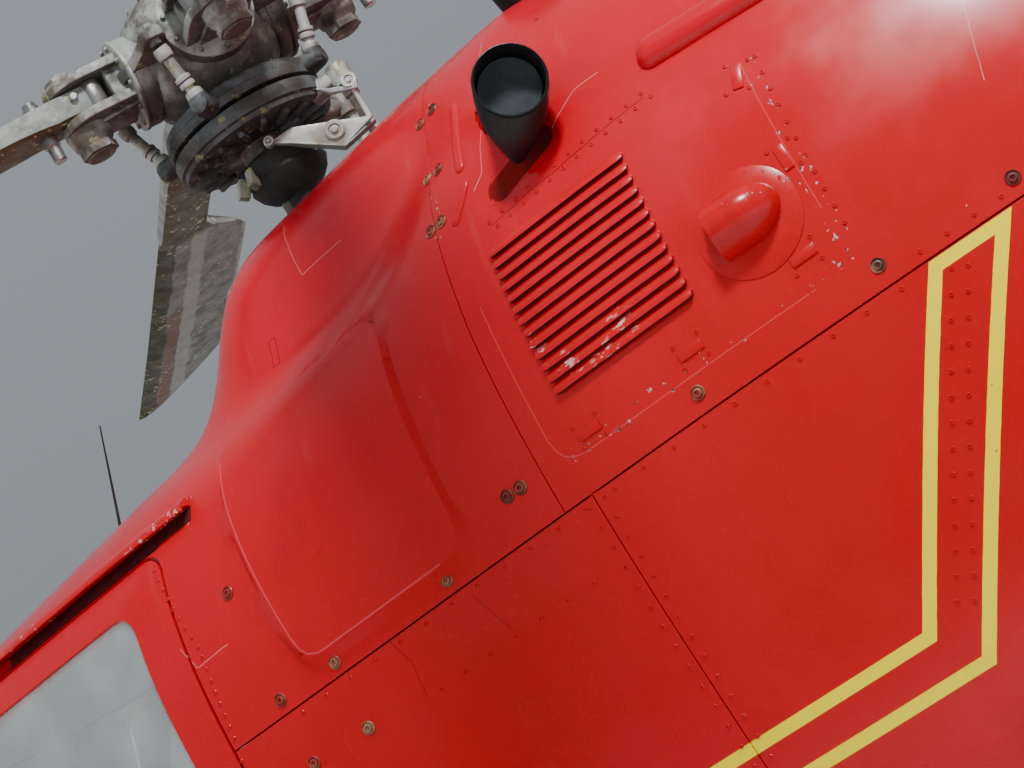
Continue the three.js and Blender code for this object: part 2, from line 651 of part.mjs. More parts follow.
function blade(azimuth, leadEnd, trailEnd) {
  const rows = [...BLADE_ROWS, [leadEnd, trailEnd, BLADE_LEAD, BLADE_TRAIL, 32, END_SAG, BLADE_LEAD]];
  const rings = rows.map(([leadX, trailX, lead, trail, thick, sag, from]) => (
    aerofoil(lead, trail, thick).map(([y, z]) => [
      leadX + (trailX - leadX) * Math.max(0, from - y) / (from - trail), y, z + sag])));
  const pinHole = rod([PIN_X, 0, -100], [PIN_X, 0, 100], 20 + GAP, 20 + GAP, 8);
  const outerPin = rod([OUTER_PIN_X, 0, OUTER_PIN_Z[0]], [OUTER_PIN_X, 0, OUTER_PIN_Z[1]], OUTER_PIN_RADIUS,
    OUTER_PIN_RADIUS, 8);
  return skin(rings).add(outerPin).subtract(pinHole)
    .rotate([0, -PRECONE, 0]).rotate([0, 0, azimuth]).translate([0, 0, HUB_Z]);
}

const BLADES = [
  // name, azimuth in degrees from port, cut at the leading edge, cut at the trailing edge
  ["rotor_blade_fore_port", -ROTOR_PARK, LONGEST_CUT - 2 * BLADE_LEAD, 2340],
  ["rotor_blade_aft_port", ROTOR_PARK, 2440, 2260],
  ["rotor_blade_aft_starboard", 180 - ROTOR_PARK, 2400, 2310],
  ["rotor_blade_fore_starboard", 180 + ROTOR_PARK, LONGEST_CUT, 2131],
];

const round = (radius, angle, z) => [radius * Math.cos(angle), radius * Math.sin(angle), z];

// Upper half of the swashplate, which turns with the mast and carries the four pitch links
function turningRing() {
  const ring = rod([0, 0, TURNING_RING_Z[0]], [0, 0, TURNING_RING_Z[1]], 172, 166, 28)
    .subtract(rod([0, 0, 2600], [0, 0, 2750], MAST_RADIUS + GAP, MAST_RADIUS + GAP, 16));
  const links = [];
  for (let k = 0; k < 4; k += 1) {
    const angle = (ROTOR_PARK + 90 * k) * Math.PI / 180 + LINK_ANGLE;
    const rise = Math.hypot(HORN[0], HORN[1]) * Math.sin(PRECONE * Math.PI / 180);
    const hornTop = HUB_Z + HORN[2] + 12 + rise;
    const head = round(Math.hypot(HORN[0], HORN[1]), angle, hornTop - 22);
    links.push(
      rod(round(150, angle, 2678), round(222, angle, 2678), 24, 20, 8),
      rod(round(LINK_FOOT_R, angle, 2700), head, 13, 13, 8));
  }
  return join(ring, ...links);
}

// Lower half, which doesn't turn: three actuator rods and a pair of levers behind the mast
function fixedRing() {
  const ring = rod([0, 0, FIXED_RING_Z[0]], [0, 0, FIXED_RING_Z[1]], 168, 176, 28)
    .subtract(rod([0, 0, 2550], [0, 0, 2700], MAST_RADIUS + 10, MAST_RADIUS + 10, 16));
  const parts = [ring];
  for (const turn of [30, 100, 150, 270]) {
    const angle = turn * Math.PI / 180;
    parts.push(
      rod(round(150, angle, 2618), round(232, angle, 2608), 24, 18, 10),
      rod(round(222, angle, GEARBOX_TOP + GAP), round(222, angle, 2628), 14, 14, 8),
      rod(round(222, angle, 2590), round(222, angle, 2636), 26, 26, 10));
  }
  return join(...parts);
}

function mainGearbox() {
  return box([-150, 150], [-110, 330], [DECK_Z, GEARBOX_TOP - 20])
    .add(rod([0, 0, GEARBOX_TOP - 40], [0, 0, GEARBOX_TOP], 242, 242, 24));
}

function mastBoot() {
  const dome = join(rod([0, 0, GEARBOX_TOP + GAP], [0, 0, 2470], 150, 140, 20),
    rod([0, 0, 2470], [0, 0, 2560], 140, 84, 20));
  return dome
    .subtract(rod([0, 0, 2300], [0, 0, 2600], MAST_RADIUS + 8, MAST_RADIUS + 8, 16));
}

// Tail rotor on the port side of the fin
function tailRotor() {
  const x = 250;
  const hubPiece = rod([150 + GAP + 5, 0, 0], [x + 45, 0, 0], 40, 40, 16);
  const rings = [110, 950].map((r) => aerofoil(50, -130, 18).map(([y, h]) => [-h, y, r]));
  const up = skin(rings);
  const grip = rod([x, 0, 0], [x, 0, 160], 30, 24, 12);
  const parts = [hubPiece];
  for (const turn of [0, 180]) {
    parts.push(up.translate([x, 0, 0]).add(grip).rotate([turn, 0, 0]));
  }
  return join(...parts).translate([0, TAIL_HUB[1], TAIL_HUB[2]]);
}

// Finishes
const finish = (color, roughness, metalness) =>
  new THREE.MeshStandardMaterial({ color, roughness, metalness });
const RED = finish(0xc8202a, 0.35, 0.0);
const GREY = finish(0xb8b8b4, 0.6, 0.1);
const DARK = finish(0x2a2b2c, 0.7, 0.1);
const METAL = finish(0x8d8f88, 0.5, 0.7);
const BLADE = finish(0x6c6f5f, 0.7, 0.1);
const CLEAR = finish(0xa9b7ba, 0.1, 0.0);
const FABRIC = finish(0x55585c, 0.9, 0.0);

const helicopter = new THREE.Group();

function place(name, piece, material) {
  const mesh = new THREE.Mesh(geometryOf(piece), material);
  mesh.name = name;
  helicopter.add(mesh);
}

place("pod_shell", podShell(), RED);
place("windscreen_frame", windscreenFrame(), RED);
place("cabin_roof", cabinRoof(), RED);
place("transmission_fairing", transmissionFairing(), RED);
place("engine_cowling", engineCowling(), RED);
place("engine_deck", engineDeck(), GREY);
place("cabin_floor", cabinFloor(), GREY);
place("main_gearbox", mainGearbox(), METAL);
place("instrument_panel", instrumentPanel(), DARK);
place("bench_frame", bench(), GREY);
place("bench_cushion", benchCushion(), FABRIC);
place("tail_boom", tailBoom(), RED);
place("tail_drive_cover", driveCover(), RED);
place("tail_fin", tailFin(), RED);
place("stabiliser", stabiliserBlade(0), RED);
place("tail_skid", tailSkid(), METAL);
place("cross_tube_front", crossTube(-1050), DARK);
place("cross_tube_rear", crossTube(620), DARK);
place("mast_boot", mastBoot(), DARK);
place("swashplate_fixed", fixedRing(), METAL);
place("swashplate_turning", turningRing(), METAL);
place("rotor_head", hub(), METAL);
place("tail_rotor", tailRotor(), BLADE);

for (const [name, azimuth, leadEnd, trailEnd] of BLADES) {
  place(name, blade(azimuth, leadEnd, trailEnd), BLADE);
}

for (const [word, side] of [["port", 1], ["starboard", -1]]) {
  place(`door_front_${word}`, half(sideDoor(FRONT_DOOR, FRONT_WINDOW, 60), side), RED);
  place(`door_slide_${word}`, half(sideDoor(SLIDE_DOOR, SLIDE_WINDOW, 50), side), RED);
  place(`rear_door_${word}`, half(rearDoors(), side), RED);
  place(`door_front_glass_${word}`, half(doorGlass(FRONT_WINDOW), side), CLEAR);
  place(`door_slide_glass_${word}`, half(doorGlass(SLIDE_WINDOW), side), CLEAR);
  place(`windscreen_${word}`, half(pane(screenOpenings(GAP)), side), CLEAR);
  place(`chin_window_${word}`, half(pane(chinWindows(GAP)), side), CLEAR);
  place(`engine_${word}`, box(side > 0 ? [40, 385] : [-385, -40], [560, 1450], [DECK_Z, ENGINE_TOP_Z]), METAL);
  place(`exhaust_outer_${word}`, exhaust(side, false), DARK);
  place(`exhaust_inner_${word}`, exhaust(side, true), DARK);
  place(`end_plate_${word}`, endPlate(side), RED);
  place(`skid_${word}`, skid(side), DARK);
  place(`door_rail_${word}`, doorRail(side), RED);
  place(`seat_${word}`, seat(side * 330), GREY);
  place(`seat_cushion_${word}`, seatCushion(side * 330), FABRIC);
}

helicopter.position.y = -(NOSE_Y + TAIL_END_Y) / 2;

export default helicopter;
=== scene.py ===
# %% [markdown]
# # A small twin-engined helicopter, parked on its skids
# The aircraft stands as it was left: the red paint a little faded and chipped, the blades sawn short, the
# rotor head grey with corrosion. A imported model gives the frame. Every piece below is built round it in
# metres, with the nose towards -Y and the port side towards +X.

# %% Load the frame
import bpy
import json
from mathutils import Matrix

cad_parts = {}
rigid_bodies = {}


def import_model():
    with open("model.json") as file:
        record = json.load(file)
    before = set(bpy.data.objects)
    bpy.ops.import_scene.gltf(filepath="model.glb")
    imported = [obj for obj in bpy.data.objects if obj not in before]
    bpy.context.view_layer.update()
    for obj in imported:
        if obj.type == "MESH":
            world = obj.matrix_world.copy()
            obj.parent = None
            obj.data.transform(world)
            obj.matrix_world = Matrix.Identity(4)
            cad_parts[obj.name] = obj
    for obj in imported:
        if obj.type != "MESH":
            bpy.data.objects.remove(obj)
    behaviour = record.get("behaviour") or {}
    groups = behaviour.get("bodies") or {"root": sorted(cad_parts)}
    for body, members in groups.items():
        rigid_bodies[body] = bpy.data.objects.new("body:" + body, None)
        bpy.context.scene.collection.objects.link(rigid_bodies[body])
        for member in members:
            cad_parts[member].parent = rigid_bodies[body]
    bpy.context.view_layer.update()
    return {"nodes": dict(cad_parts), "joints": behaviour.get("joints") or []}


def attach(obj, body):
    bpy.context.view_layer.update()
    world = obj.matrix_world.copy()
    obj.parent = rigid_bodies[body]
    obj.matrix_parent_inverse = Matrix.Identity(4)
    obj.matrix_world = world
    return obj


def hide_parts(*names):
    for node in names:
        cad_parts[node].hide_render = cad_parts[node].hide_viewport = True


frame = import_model()

# %% [markdown]
# Distances along the body are easiest to think of as counted aft from the rotor mast, so the mast's place
# is read from the frame once, and a small function turns such a distance into a place.

# %% The mast as the measuring point
import json
import math
import random

import bmesh
import bpy
from mathutils import Matrix, Vector
from mathutils.bvhtree import BVHTree

PIVOT = {joint["name"]: Vector(joint["pos_m"]) for joint in frame["joints"]}
HUB = PIVOT["main_rotor_spin"]
SIDES = (("port", 1), ("starboard", -1))


def aft(distance):
    return HUB.y + distance


print("mast at y", round(HUB.y, 3), "hub at z", round(HUB.z, 3))

# %% [markdown]
# The camera comes first, because everything is judged through it. It stands low on the port side, a few
# metres away, looks slightly up and is rolled so that the fuselage climbs across the picture.

# %% Camera
LENS_MM, SENSOR_MM = 79.8, 36.0
EYE = Vector((3.946, 0.310, 1.208))
LOOK_TURN, LOOK_UP, LOOK_ROLL = math.radians(116.409), math.radians(98.795), math.radians(-33.198)

bpy.ops.object.camera_add(location=EYE)
camera = bpy.context.object
camera.rotation_euler = (Matrix.Rotation(LOOK_TURN, 3, "Z") @ Matrix.Rotation(LOOK_UP, 3, "X")
                         @ Matrix.Rotation(LOOK_ROLL, 3, "Z")).to_euler()
camera.data.lens = LENS_MM
camera.data.sensor_width = SENSOR_MM
bpy.context.scene.camera = camera
print("camera looks along", [round(v, 2) for v in camera.rotation_euler.to_matrix() @ Vector((0, 0, -1))])

# %% [markdown]
# Soft studio light: wide panels overhead and to each side, and a pale surround that the gloss paint can
# reflect. The strongest panel hangs above and a little behind, so that louvres and hoods throw short
# shadows down and forward. Only that one shows in the gloss: the big side panels would mirror as pale
# rectangles.

# %% Lights, surround and floor
LIGHTS = (
    # name, place, size, watts
    ("key", (3.0, 2.4, 7.6), 1.0, 620),
    ("port", (8.0, -4.0, 4.5), 5.0, 150),
    ("starboard", (-8.0, 0.0, 5.5), 5.0, 260),
    ("nose", (1.5, -10.0, 4.0), 5.0, 190),
    ("tail", (0.5, 10.0, 5.0), 5.0, 190),
)


def add_lights():
    for name, place, size, watts in LIGHTS:
        bpy.ops.object.light_add(type="AREA", location=place)
        light = bpy.context.object
        light.name = "light_" + name
        light.data.size = size
        light.data.energy = watts
        light.visible_glossy = name == "key"
        light.rotation_euler = (Vector((0, -0.8, 1.6)) - light.location).to_track_quat("-Z", "Y").to_euler()


def add_surround():
    world = bpy.data.worlds.new("studio")
    world.use_nodes = True
    nodes, links = world.node_tree.nodes, world.node_tree.links
    place = nodes.new("ShaderNodeTexCoord")
    height = nodes.new("ShaderNodeSeparateXYZ")
    shade = nodes.new("ShaderNodeValToRGB")
    shade.color_ramp.elements[0].position = 0.35
    shade.color_ramp.elements[0].color = (0.40, 0.42, 0.44, 1)
    shade.color_ramp.elements[1].position = 0.95
    shade.color_ramp.elements[1].color = (0.80, 0.87, 0.95, 1)
    lift = nodes.new("ShaderNodeMath")
    lift.operation = "MULTIPLY_ADD"
    lift.inputs[1].default_value = 0.5
    lift.inputs[2].default_value = 0.5
    links.new(place.outputs["Generated"], height.inputs[0])
    links.new(height.outputs["Z"], lift.inputs[0])
    links.new(lift.outputs[0], shade.inputs[0])
    links.new(shade.outputs[0], nodes["Background"].inputs["Color"])
    nodes["Background"].inputs["Strength"].default_value = 0.5
    bpy.context.scene.world = world


add_lights()
add_surround()
bpy.ops.mesh.primitive_plane_add(size=60)
floor = bpy.context.object
floor.name = "floor"
print(len(LIGHTS), "lights and a floor")

# %% [markdown]
# Modelling by hand means: take hold of one piece, pick some of its faces or edges by where they are, and
# use a tool on them. The helpers below stand for the mouse. Tools act on all that is selected, so taking
# hold of a piece clears the old selection first.

# %% Taking hold of a piece
def hold(piece, mode="OBJECT"):
    if bpy.context.mode != "OBJECT":
        bpy.ops.object.mode_set(mode="OBJECT")
    bpy.ops.object.select_all(action="DESELECT")
    piece.select_set(True)
    bpy.context.view_layer.objects.active = piece
    bpy.ops.object.mode_set(mode=mode)
    return piece


def pick(piece, kind, test):
    """Select the verts, edges or faces that pass the test, and nothing else."""
    hold(piece, "EDIT")
    bpy.ops.mesh.select_mode(type={"verts": "VERT", "edges": "EDGE", "faces": "FACE"}[kind])
    bpy.ops.mesh.select_all(action="DESELECT")
    mesh = bmesh.from_edit_mesh(piece.data)
    chosen = [part for part in getattr(mesh, kind) if test(part)]
    for part in chosen:
        part.select_set(True)
    bmesh.update_edit_mesh(piece.data)
    return len(chosen)


def modify(piece, kind, **settings):
    """Add a modifier and apply it at once."""
    hold(piece)
    modifier = piece.modifiers.new(kind.lower(), kind)
    for name, value in settings.items():
        setattr(modifier, name, value)
    bpy.ops.object.modifier_apply(modifier=modifier.name)
    return piece


def whole(piece):
    """Take hold of all of a piece's mesh."""
    hold(piece, "EDIT")
    bpy.ops.mesh.select_all(action="SELECT")


def settled(piece):
    """Move a piece's place, turn and size into its mesh."""
    hold(piece)
    bpy.ops.object.transform_apply(location=True, rotation=True, scale=True)
    return piece


def bevelled(piece, width, segments=2, angle=35):
    return modify(piece, "BEVEL", width=width, segments=segments, limit_method="ANGLE",
                  angle_limit=math.radians(angle), use_clamp_overlap=True)


print("helpers ready")

# %% [markdown]
# Most long shapes here are lofts. A circle with as many corners as the section has is extruded again and
# again, and each new ring is moved onto the points of the next section. Every corner carries its number
# round the ring in a layer of the mesh, and an extrusion copies that number, so no corner is lost.

# %% Loft, plate, turned piece, rod and tube
def loft(rings, ends=True):
    bpy.ops.mesh.primitive_circle_add(vertices=len(rings[0]), fill_type="NGON" if ends else "NOTHING")
    piece = hold(bpy.context.object, "EDIT")
    mesh = bmesh.from_edit_mesh(piece.data)
    number = mesh.verts.layers.int.new("number")
    for i, vert in enumerate(mesh.verts):
        vert[number] = i
        vert.co = rings[0][i]
    bpy.ops.mesh.select_mode(type="VERT" if ends else "EDGE")
    bpy.ops.mesh.select_all(action="SELECT")
    for ring in rings[1:]:
        if ends:
            bpy.ops.mesh.extrude_region_move()
        else:
            bpy.ops.mesh.extrude_edges_move()
        mesh = bmesh.from_edit_mesh(piece.data)
        number = mesh.verts.layers.int["number"]
        for vert in mesh.verts:
            if vert.select:
                vert.co = ring[vert[number]]
        bmesh.update_edit_mesh(piece.data)
    bpy.ops.mesh.select_all(action="SELECT")
    bpy.ops.mesh.normals_make_consistent(inside=False)
    hold(piece)
    piece.data.attributes.remove(piece.data.attributes["number"])
    return piece


def side_plate(outline, x0, x1):
    """A plate drawn in the side view as (distance aft, height), from x0 to x1."""
    return loft([[(x, aft(y), z) for y, z in outline] for x in (x0, x1)])


def flat_plate(outline, z0, z1):
    return loft([[(x, y, z) for x, y in outline] for z in (z0, z1)])


def placed(piece, foot, head):
    """Stand a piece, made along +Z from the origin, on foot so that it points at head."""
    piece.location = foot
    piece.rotation_euler = (Vector(head) - Vector(foot)).to_track_quat("Z", "Y").to_euler()
    return settled(piece)


def circle(count, shift=0.0):
    """Points once round a circle of radius 1."""
    turns = [(i + shift) / count * math.tau for i in range(count)]
    return [(math.cos(turn), math.sin(turn)) for turn in turns]


def half_circle(steps):
    return [(math.cos(i / steps * math.pi), math.sin(i / steps * math.pi)) for i in range(steps + 1)]


def turned(profile, foot=(0, 0, 0), head=(0, 0, 1), sides=32):
    """A turned piece: profile rows are (radius, height along the axis)."""
    rings = [[(r * cos, r * sin, h) for cos, sin in circle(sides)] for r, h in profile]
    return placed(loft(rings), foot, head)


def upright(profile, x, y=0.0, sides=32):
    """A turned piece that stands straight up at a place."""
    return turned(profile, (x, y, 0), (x, y, 1), sides)


def rod(foot, head, radius, tip=None, sides=24):
    length = (Vector(head) - Vector(foot)).length
    return turned([(radius, 0), (radius if tip is None else tip, length)], foot, head, sides)


def tube(points, radius, sides=16, smooth=6):
    """A round tube along a smooth line through the points."""
    bpy.ops.curve.primitive_bezier_curve_add()
    curve = bpy.context.object.data
    spline = curve.splines[0]
    spline.bezier_points.add(len(points) - 2)
    for knot, point in zip(spline.bezier_points, points):
        knot.co = point
        knot.handle_left_type = knot.handle_right_type = "AUTO"
    curve.dimensions = "3D"
    curve.resolution_u = smooth
    curve.bevel_depth = radius
    curve.bevel_resolution = sides // 4
    curve.use_fill_caps = True
    hold(bpy.context.object)
    bpy.ops.object.convert(target="MESH")
    return bpy.context.object


def block(low, high):
    bpy.ops.mesh.primitive_cube_add(size=1)
    piece = bpy.context.object
    piece.location = [(a + b) / 2 for a, b in zip(low, high)]
    piece.scale = [b - a for a, b in zip(low, high)]
    return settled(piece)


def joined(*pieces):
    hold(pieces[0])
    for piece in pieces:
        piece.select_set(True)
    bpy.ops.object.join()
    return bpy.context.object


def copied(piece, matrix):
    hold(piece)
    bpy.ops.object.duplicate()
    twin = bpy.context.object
    twin.data.transform(matrix)
    if matrix.determinant() < 0:
        whole(twin)
        bpy.ops.mesh.flip_normals()
        hold(twin)
    return twin


MIRROR = Matrix.Diagonal((-1, 1, 1, 1))
print("shape helpers ready")

# %% [markdown]
# ## Finishes
# A finish is a small tree of nodes round one shader. The class below only saves typing: each method adds
# one node and gives back its output. All patterns read Object coordinates, so they stay where they are on
# the piece, however it is turned by a joint.

# %% A small kit for finishes
class Finish:
    def __init__(self, name, colour, roughness, metallic=0.0, **sockets):
        self.material = bpy.data.materials.new(name)
        self.material.use_nodes = True
        self.nodes = self.material.node_tree.nodes
        self.links = self.material.node_tree.links
        self.shader = self.nodes["Principled BSDF"]
        self.shader.inputs["Base Color"].default_value = (*colour, 1)
        self.shader.inputs["Roughness"].default_value = roughness
        self.shader.inputs["Metallic"].default_value = metallic
        for socket, value in sockets.items():
            self.shader.inputs[socket.replace("_", " ").title().replace("Ior", "IOR")].default_value = value
        self.place = self.nodes.new("ShaderNodeTexCoord").outputs["Object"]
        self.x, self.y, self.z = self.split(self.place)

    def feed(self, socket, value):
        if hasattr(value, "is_output"):
            self.links.new(value, socket)
        else:
            socket.default_value = value

    def split(self, vector):
        node = self.nodes.new("ShaderNodeSeparateXYZ")
        self.links.new(vector, node.inputs[0])
        return node.outputs[0], node.outputs[1], node.outputs[2]

    def math(self, operation, *values, clamp=False):
        node = self.nodes.new("ShaderNodeMath")
        node.operation = operation
        node.use_clamp = clamp
        for socket, value in zip(node.inputs, values):
            self.feed(socket, value)
        return node.outputs[0]

    def times(self, *values, clamp=False):
        return self.math("MULTIPLY", *values, clamp=clamp)

    def plus(self, *values):
        return self.math("ADD", *values)

    def minus(self, *values):
        return self.math("SUBTRACT", *values)

    def pattern(self, kind, scale, stretch=(1, 1, 1), shift=(0, 0, 0)):
        """A pattern that reads the place on the piece, stretched and shifted."""
        mapping = self.nodes.new("ShaderNodeMapping")
        mapping.inputs["Scale"].default_value = stretch
        mapping.inputs["Location"].default_value = shift
        self.links.new(self.place, mapping.inputs["Vector"])
        node = self.nodes.new(kind)
        node.inputs["Scale"].default_value = scale
        self.links.new(mapping.outputs[0], node.inputs["Vector"])
        return node

    def noise(self, scale, detail=3.0, stretch=(1, 1, 1), shift=(0, 0, 0), roughness=0.55):
        node = self.pattern("ShaderNodeTexNoise", scale, stretch, shift)
        node.inputs["Detail"].default_value = detail
        node.inputs["Roughness"].default_value = roughness
        return node.outputs["Fac"]

    def spots(self, scale):
        return self.pattern("ShaderNodeTexVoronoi", scale).outputs["Distance"]

    def ramp(self, value, low, high, start=0.0, end=1.0):
        node = self.nodes.new("ShaderNodeMapRange")
        node.interpolation_type = "SMOOTHSTEP"
        for socket, number in zip(node.inputs, (value, low, high, start, end)):
            self.feed(socket, number)
        return node.outputs[0]

    def mix(self, factor, first, second):
        node = self.nodes.new("ShaderNodeMix")
        node.data_type = "RGBA"
        self.feed(node.inputs["Factor"], factor)
        for socket, colour in ((node.inputs[6], first), (node.inputs[7], second)):
            self.feed(socket, colour if hasattr(colour, "is_output") else (*colour, 1))
        return node.outputs[2]

    def bump(self, height, distance, strength=1.0):
        node = self.nodes.new("ShaderNodeBump")
        node.inputs["Strength"].default_value = strength
        node.inputs["Distance"].default_value = distance
        self.links.new(height, node.inputs["Height"])
        self.links.new(node.outputs[0], self.shader.inputs["Normal"])

    def colour(self, value):
        self.links.new(value, self.shader.inputs["Base Color"])

    def rough(self, value):
        self.links.new(value, self.shader.inputs["Roughness"])

    def near(self, centre, reach):
        """1 at a place, falling to 0 at the given distance from it."""
        node = self.nodes.new("ShaderNodeVectorMath")
        node.operation = "DISTANCE"
        self.links.new(self.place, node.inputs[0])
        node.inputs[1].default_value = centre
        return self.ramp(node.outputs["Value"], 0.0, reach, 1.0, 0.0)

    def stroke(self, start, end, width, wobble=0.0):
        """1 on a straight line in the side view, between two (distance aft, height) places."""
        length = math.dist(start, end)
        cos, sin = (end[0] - start[0]) / length, (end[1] - start[1]) / length
        dy = self.minus(self.y, aft(start[0]))
        dz = self.minus(self.z, start[1])
        along = self.math("MULTIPLY_ADD", dy, cos, self.times(dz, sin))
        across = self.math("MULTIPLY_ADD", dz, cos, self.times(dy, -sin))
        across = self.math("ABSOLUTE", self.plus(across, wobble))
        middle = self.math("ABSOLUTE", self.minus(along, length / 2))
        return self.times(self.math("LESS_THAN", across, width / 2),
                         self.math("LESS_THAN", middle, length / 2 + width / 2))

    def faces_down(self):
        """From 0 on what faces up or sideways to 1 on what faces the ground."""
        place = self.nodes.new("ShaderNodeTexCoord")
        down = self.split(place.outputs["Normal"])[2]
        return self.times(down, -1.0, clamp=True)

    def strokes(self, line, width, wobble=0.0):
        mask = 0.0
        for start, end in zip(line, line[1:]):
            mask = self.math("MAXIMUM", self.stroke(start, end, width, wobble), mask)
        return mask

    def behind(self, start, end):
        """How far a place is aft of a slanting line in the side view."""
        length = math.dist(start, end)
        cos, sin = (end[0] - start[0]) / length, (end[1] - start[1]) / length
        dy = self.minus(self.y, aft(start[0]))
        dz = self.minus(self.z, start[1])
        return self.math("MULTIPLY_ADD", dy, sin, self.times(dz, -cos))

    def all_of(self, *masks):
        whole = masks[0]
        for mask in masks[1:]:
            whole = self.times(whole, mask)
        return whole

    def without(self, mask):
        return self.minus(1.0, mask)


print("finish kit ready")

# %% [markdown]
# The red is an old gloss enamel: deep and wet-looking low down, and lighter and pinker towards the top,
# partly from sun fading and partly as a painted sheen of the sky. It has fine runs of dirt, tiny chips to
# a pale primer, thin painted highlights along the edges of the pressed panel and the engine hatch, and a
# yellow double stripe that is masked off and sprayed. The stripe starts in a corner under the cowling,
# comes down forwards and then runs to the nose.

# %% Red paint with its stripes
STRIPE_WIDTH = 0.021
OUTER_SLANT = ((0.957, 1.004), (1.318, 1.522))
INNER_SLANT = ((0.905, 1.078), (1.205, 1.522))
STRIPE_TOP = 1.526
# height aft, height forward, and where it steps
STRIPE_LEVELS = ((1.004, 0.860, 0.25, 0.45), (1.078, 0.934, 0.27, 0.47))
SEAM_LINES = (
    ((0.027, 2.152), (0.027, 2.101), (0.045, 2.101), (0.045, 2.152), (0.027, 2.152)),
    ((0.12, 1.545), (0.14, 1.49), (0.132, 1.43)),
    ((0.30, 1.52), (0.33, 1.44)),
    ((0.628, 2.006), (0.948, 2.026)),
)
CREASES = (
    ((-0.275, 1.747), (-0.256, 1.701), (-0.177, 1.700)),
    ((1.431, 1.847), (1.401, 1.720)),
    ((0.121, 2.336), (0.152, 2.215), (0.263, 2.217)),
    ((0.674, 2.346), (0.669, 2.279), (0.662, 2.181), (0.642, 2.100), (0.619, 2.082)),
    ((0.790, 2.083), (0.847, 2.116), (0.893, 2.119)),
)
CHIPPED = (
    ((1.115, 1.66), (1.115, 1.96)), ((0.575, 1.609), (1.10, 1.609)),
    ((0.53, 2.31), (0.53, 2.06)), ((-0.18, 1.972), (-0.18, 1.935)), ((1.02, 1.775), (1.10, 1.775)),
)
# Painted highlights: lines of lighter red along the pressed panel's edge and the engine hatch's edges,
# where light catches the edge.
PRESSED_EDGE_HIGHLIGHTS = (
    ((-0.087, 1.99), (-0.069, 1.85), (-0.0456, 1.642), (-0.040, 1.618), (-0.029, 1.602), (-0.010, 1.593),
     (0.010, 1.592), (0.28, 1.592)),
)
HATCH_EDGE_HIGHLIGHTS = (((0.556, 1.90), (0.556, 1.650), (0.559, 1.631), (0.567, 1.616), (0.581, 1.605),
                (0.606, 1.600), (1.044, 1.600)), ((1.105, 1.975), (1.112, 1.700)),)
SCUFFS = ((0.731, 0.763, 1.731), (0.740, 0.717, 1.706), (0.740, 0.652, 1.731), (0.732, 0.613, 1.781))
SCUFF_REACH = 0.045
SEAM_WIDTH, EDGE_HIGHLIGHT_WIDTH, HATCH_HIGHLIGHT_WIDTH, CHIP_WIDTH = 0.0016, 0.0034, 0.0020, 0.030


def between_stripes(paint, more, wobble):
    """1 inside the band that the two stripes enclose, grown by a little on every side."""
    outer, inner = [paint.plus(paint.behind(*line), wobble) for line in (OUTER_SLANT, INNER_SLANT)]
    low, high = [paint.math("MULTIPLY_ADD", paint.math("MULTIPLY_ADD", paint.y, 1 / (end - start),
                                                       -aft(start) / (end - start), clamp=True),
                            behind - before, before) for behind, before, start, end in STRIPE_LEVELS]
    ring = paint.all_of(paint.math("LESS_THAN", outer, more),
                        paint.math("GREATER_THAN", paint.minus(paint.z, low), -more),
                        paint.math("LESS_THAN", paint.z, STRIPE_TOP + more))
    core = paint.all_of(paint.math("LESS_THAN", inner, -more),
                        paint.math("GREATER_THAN", paint.minus(paint.z, high), more))
    return paint.all_of(ring, paint.without(core))


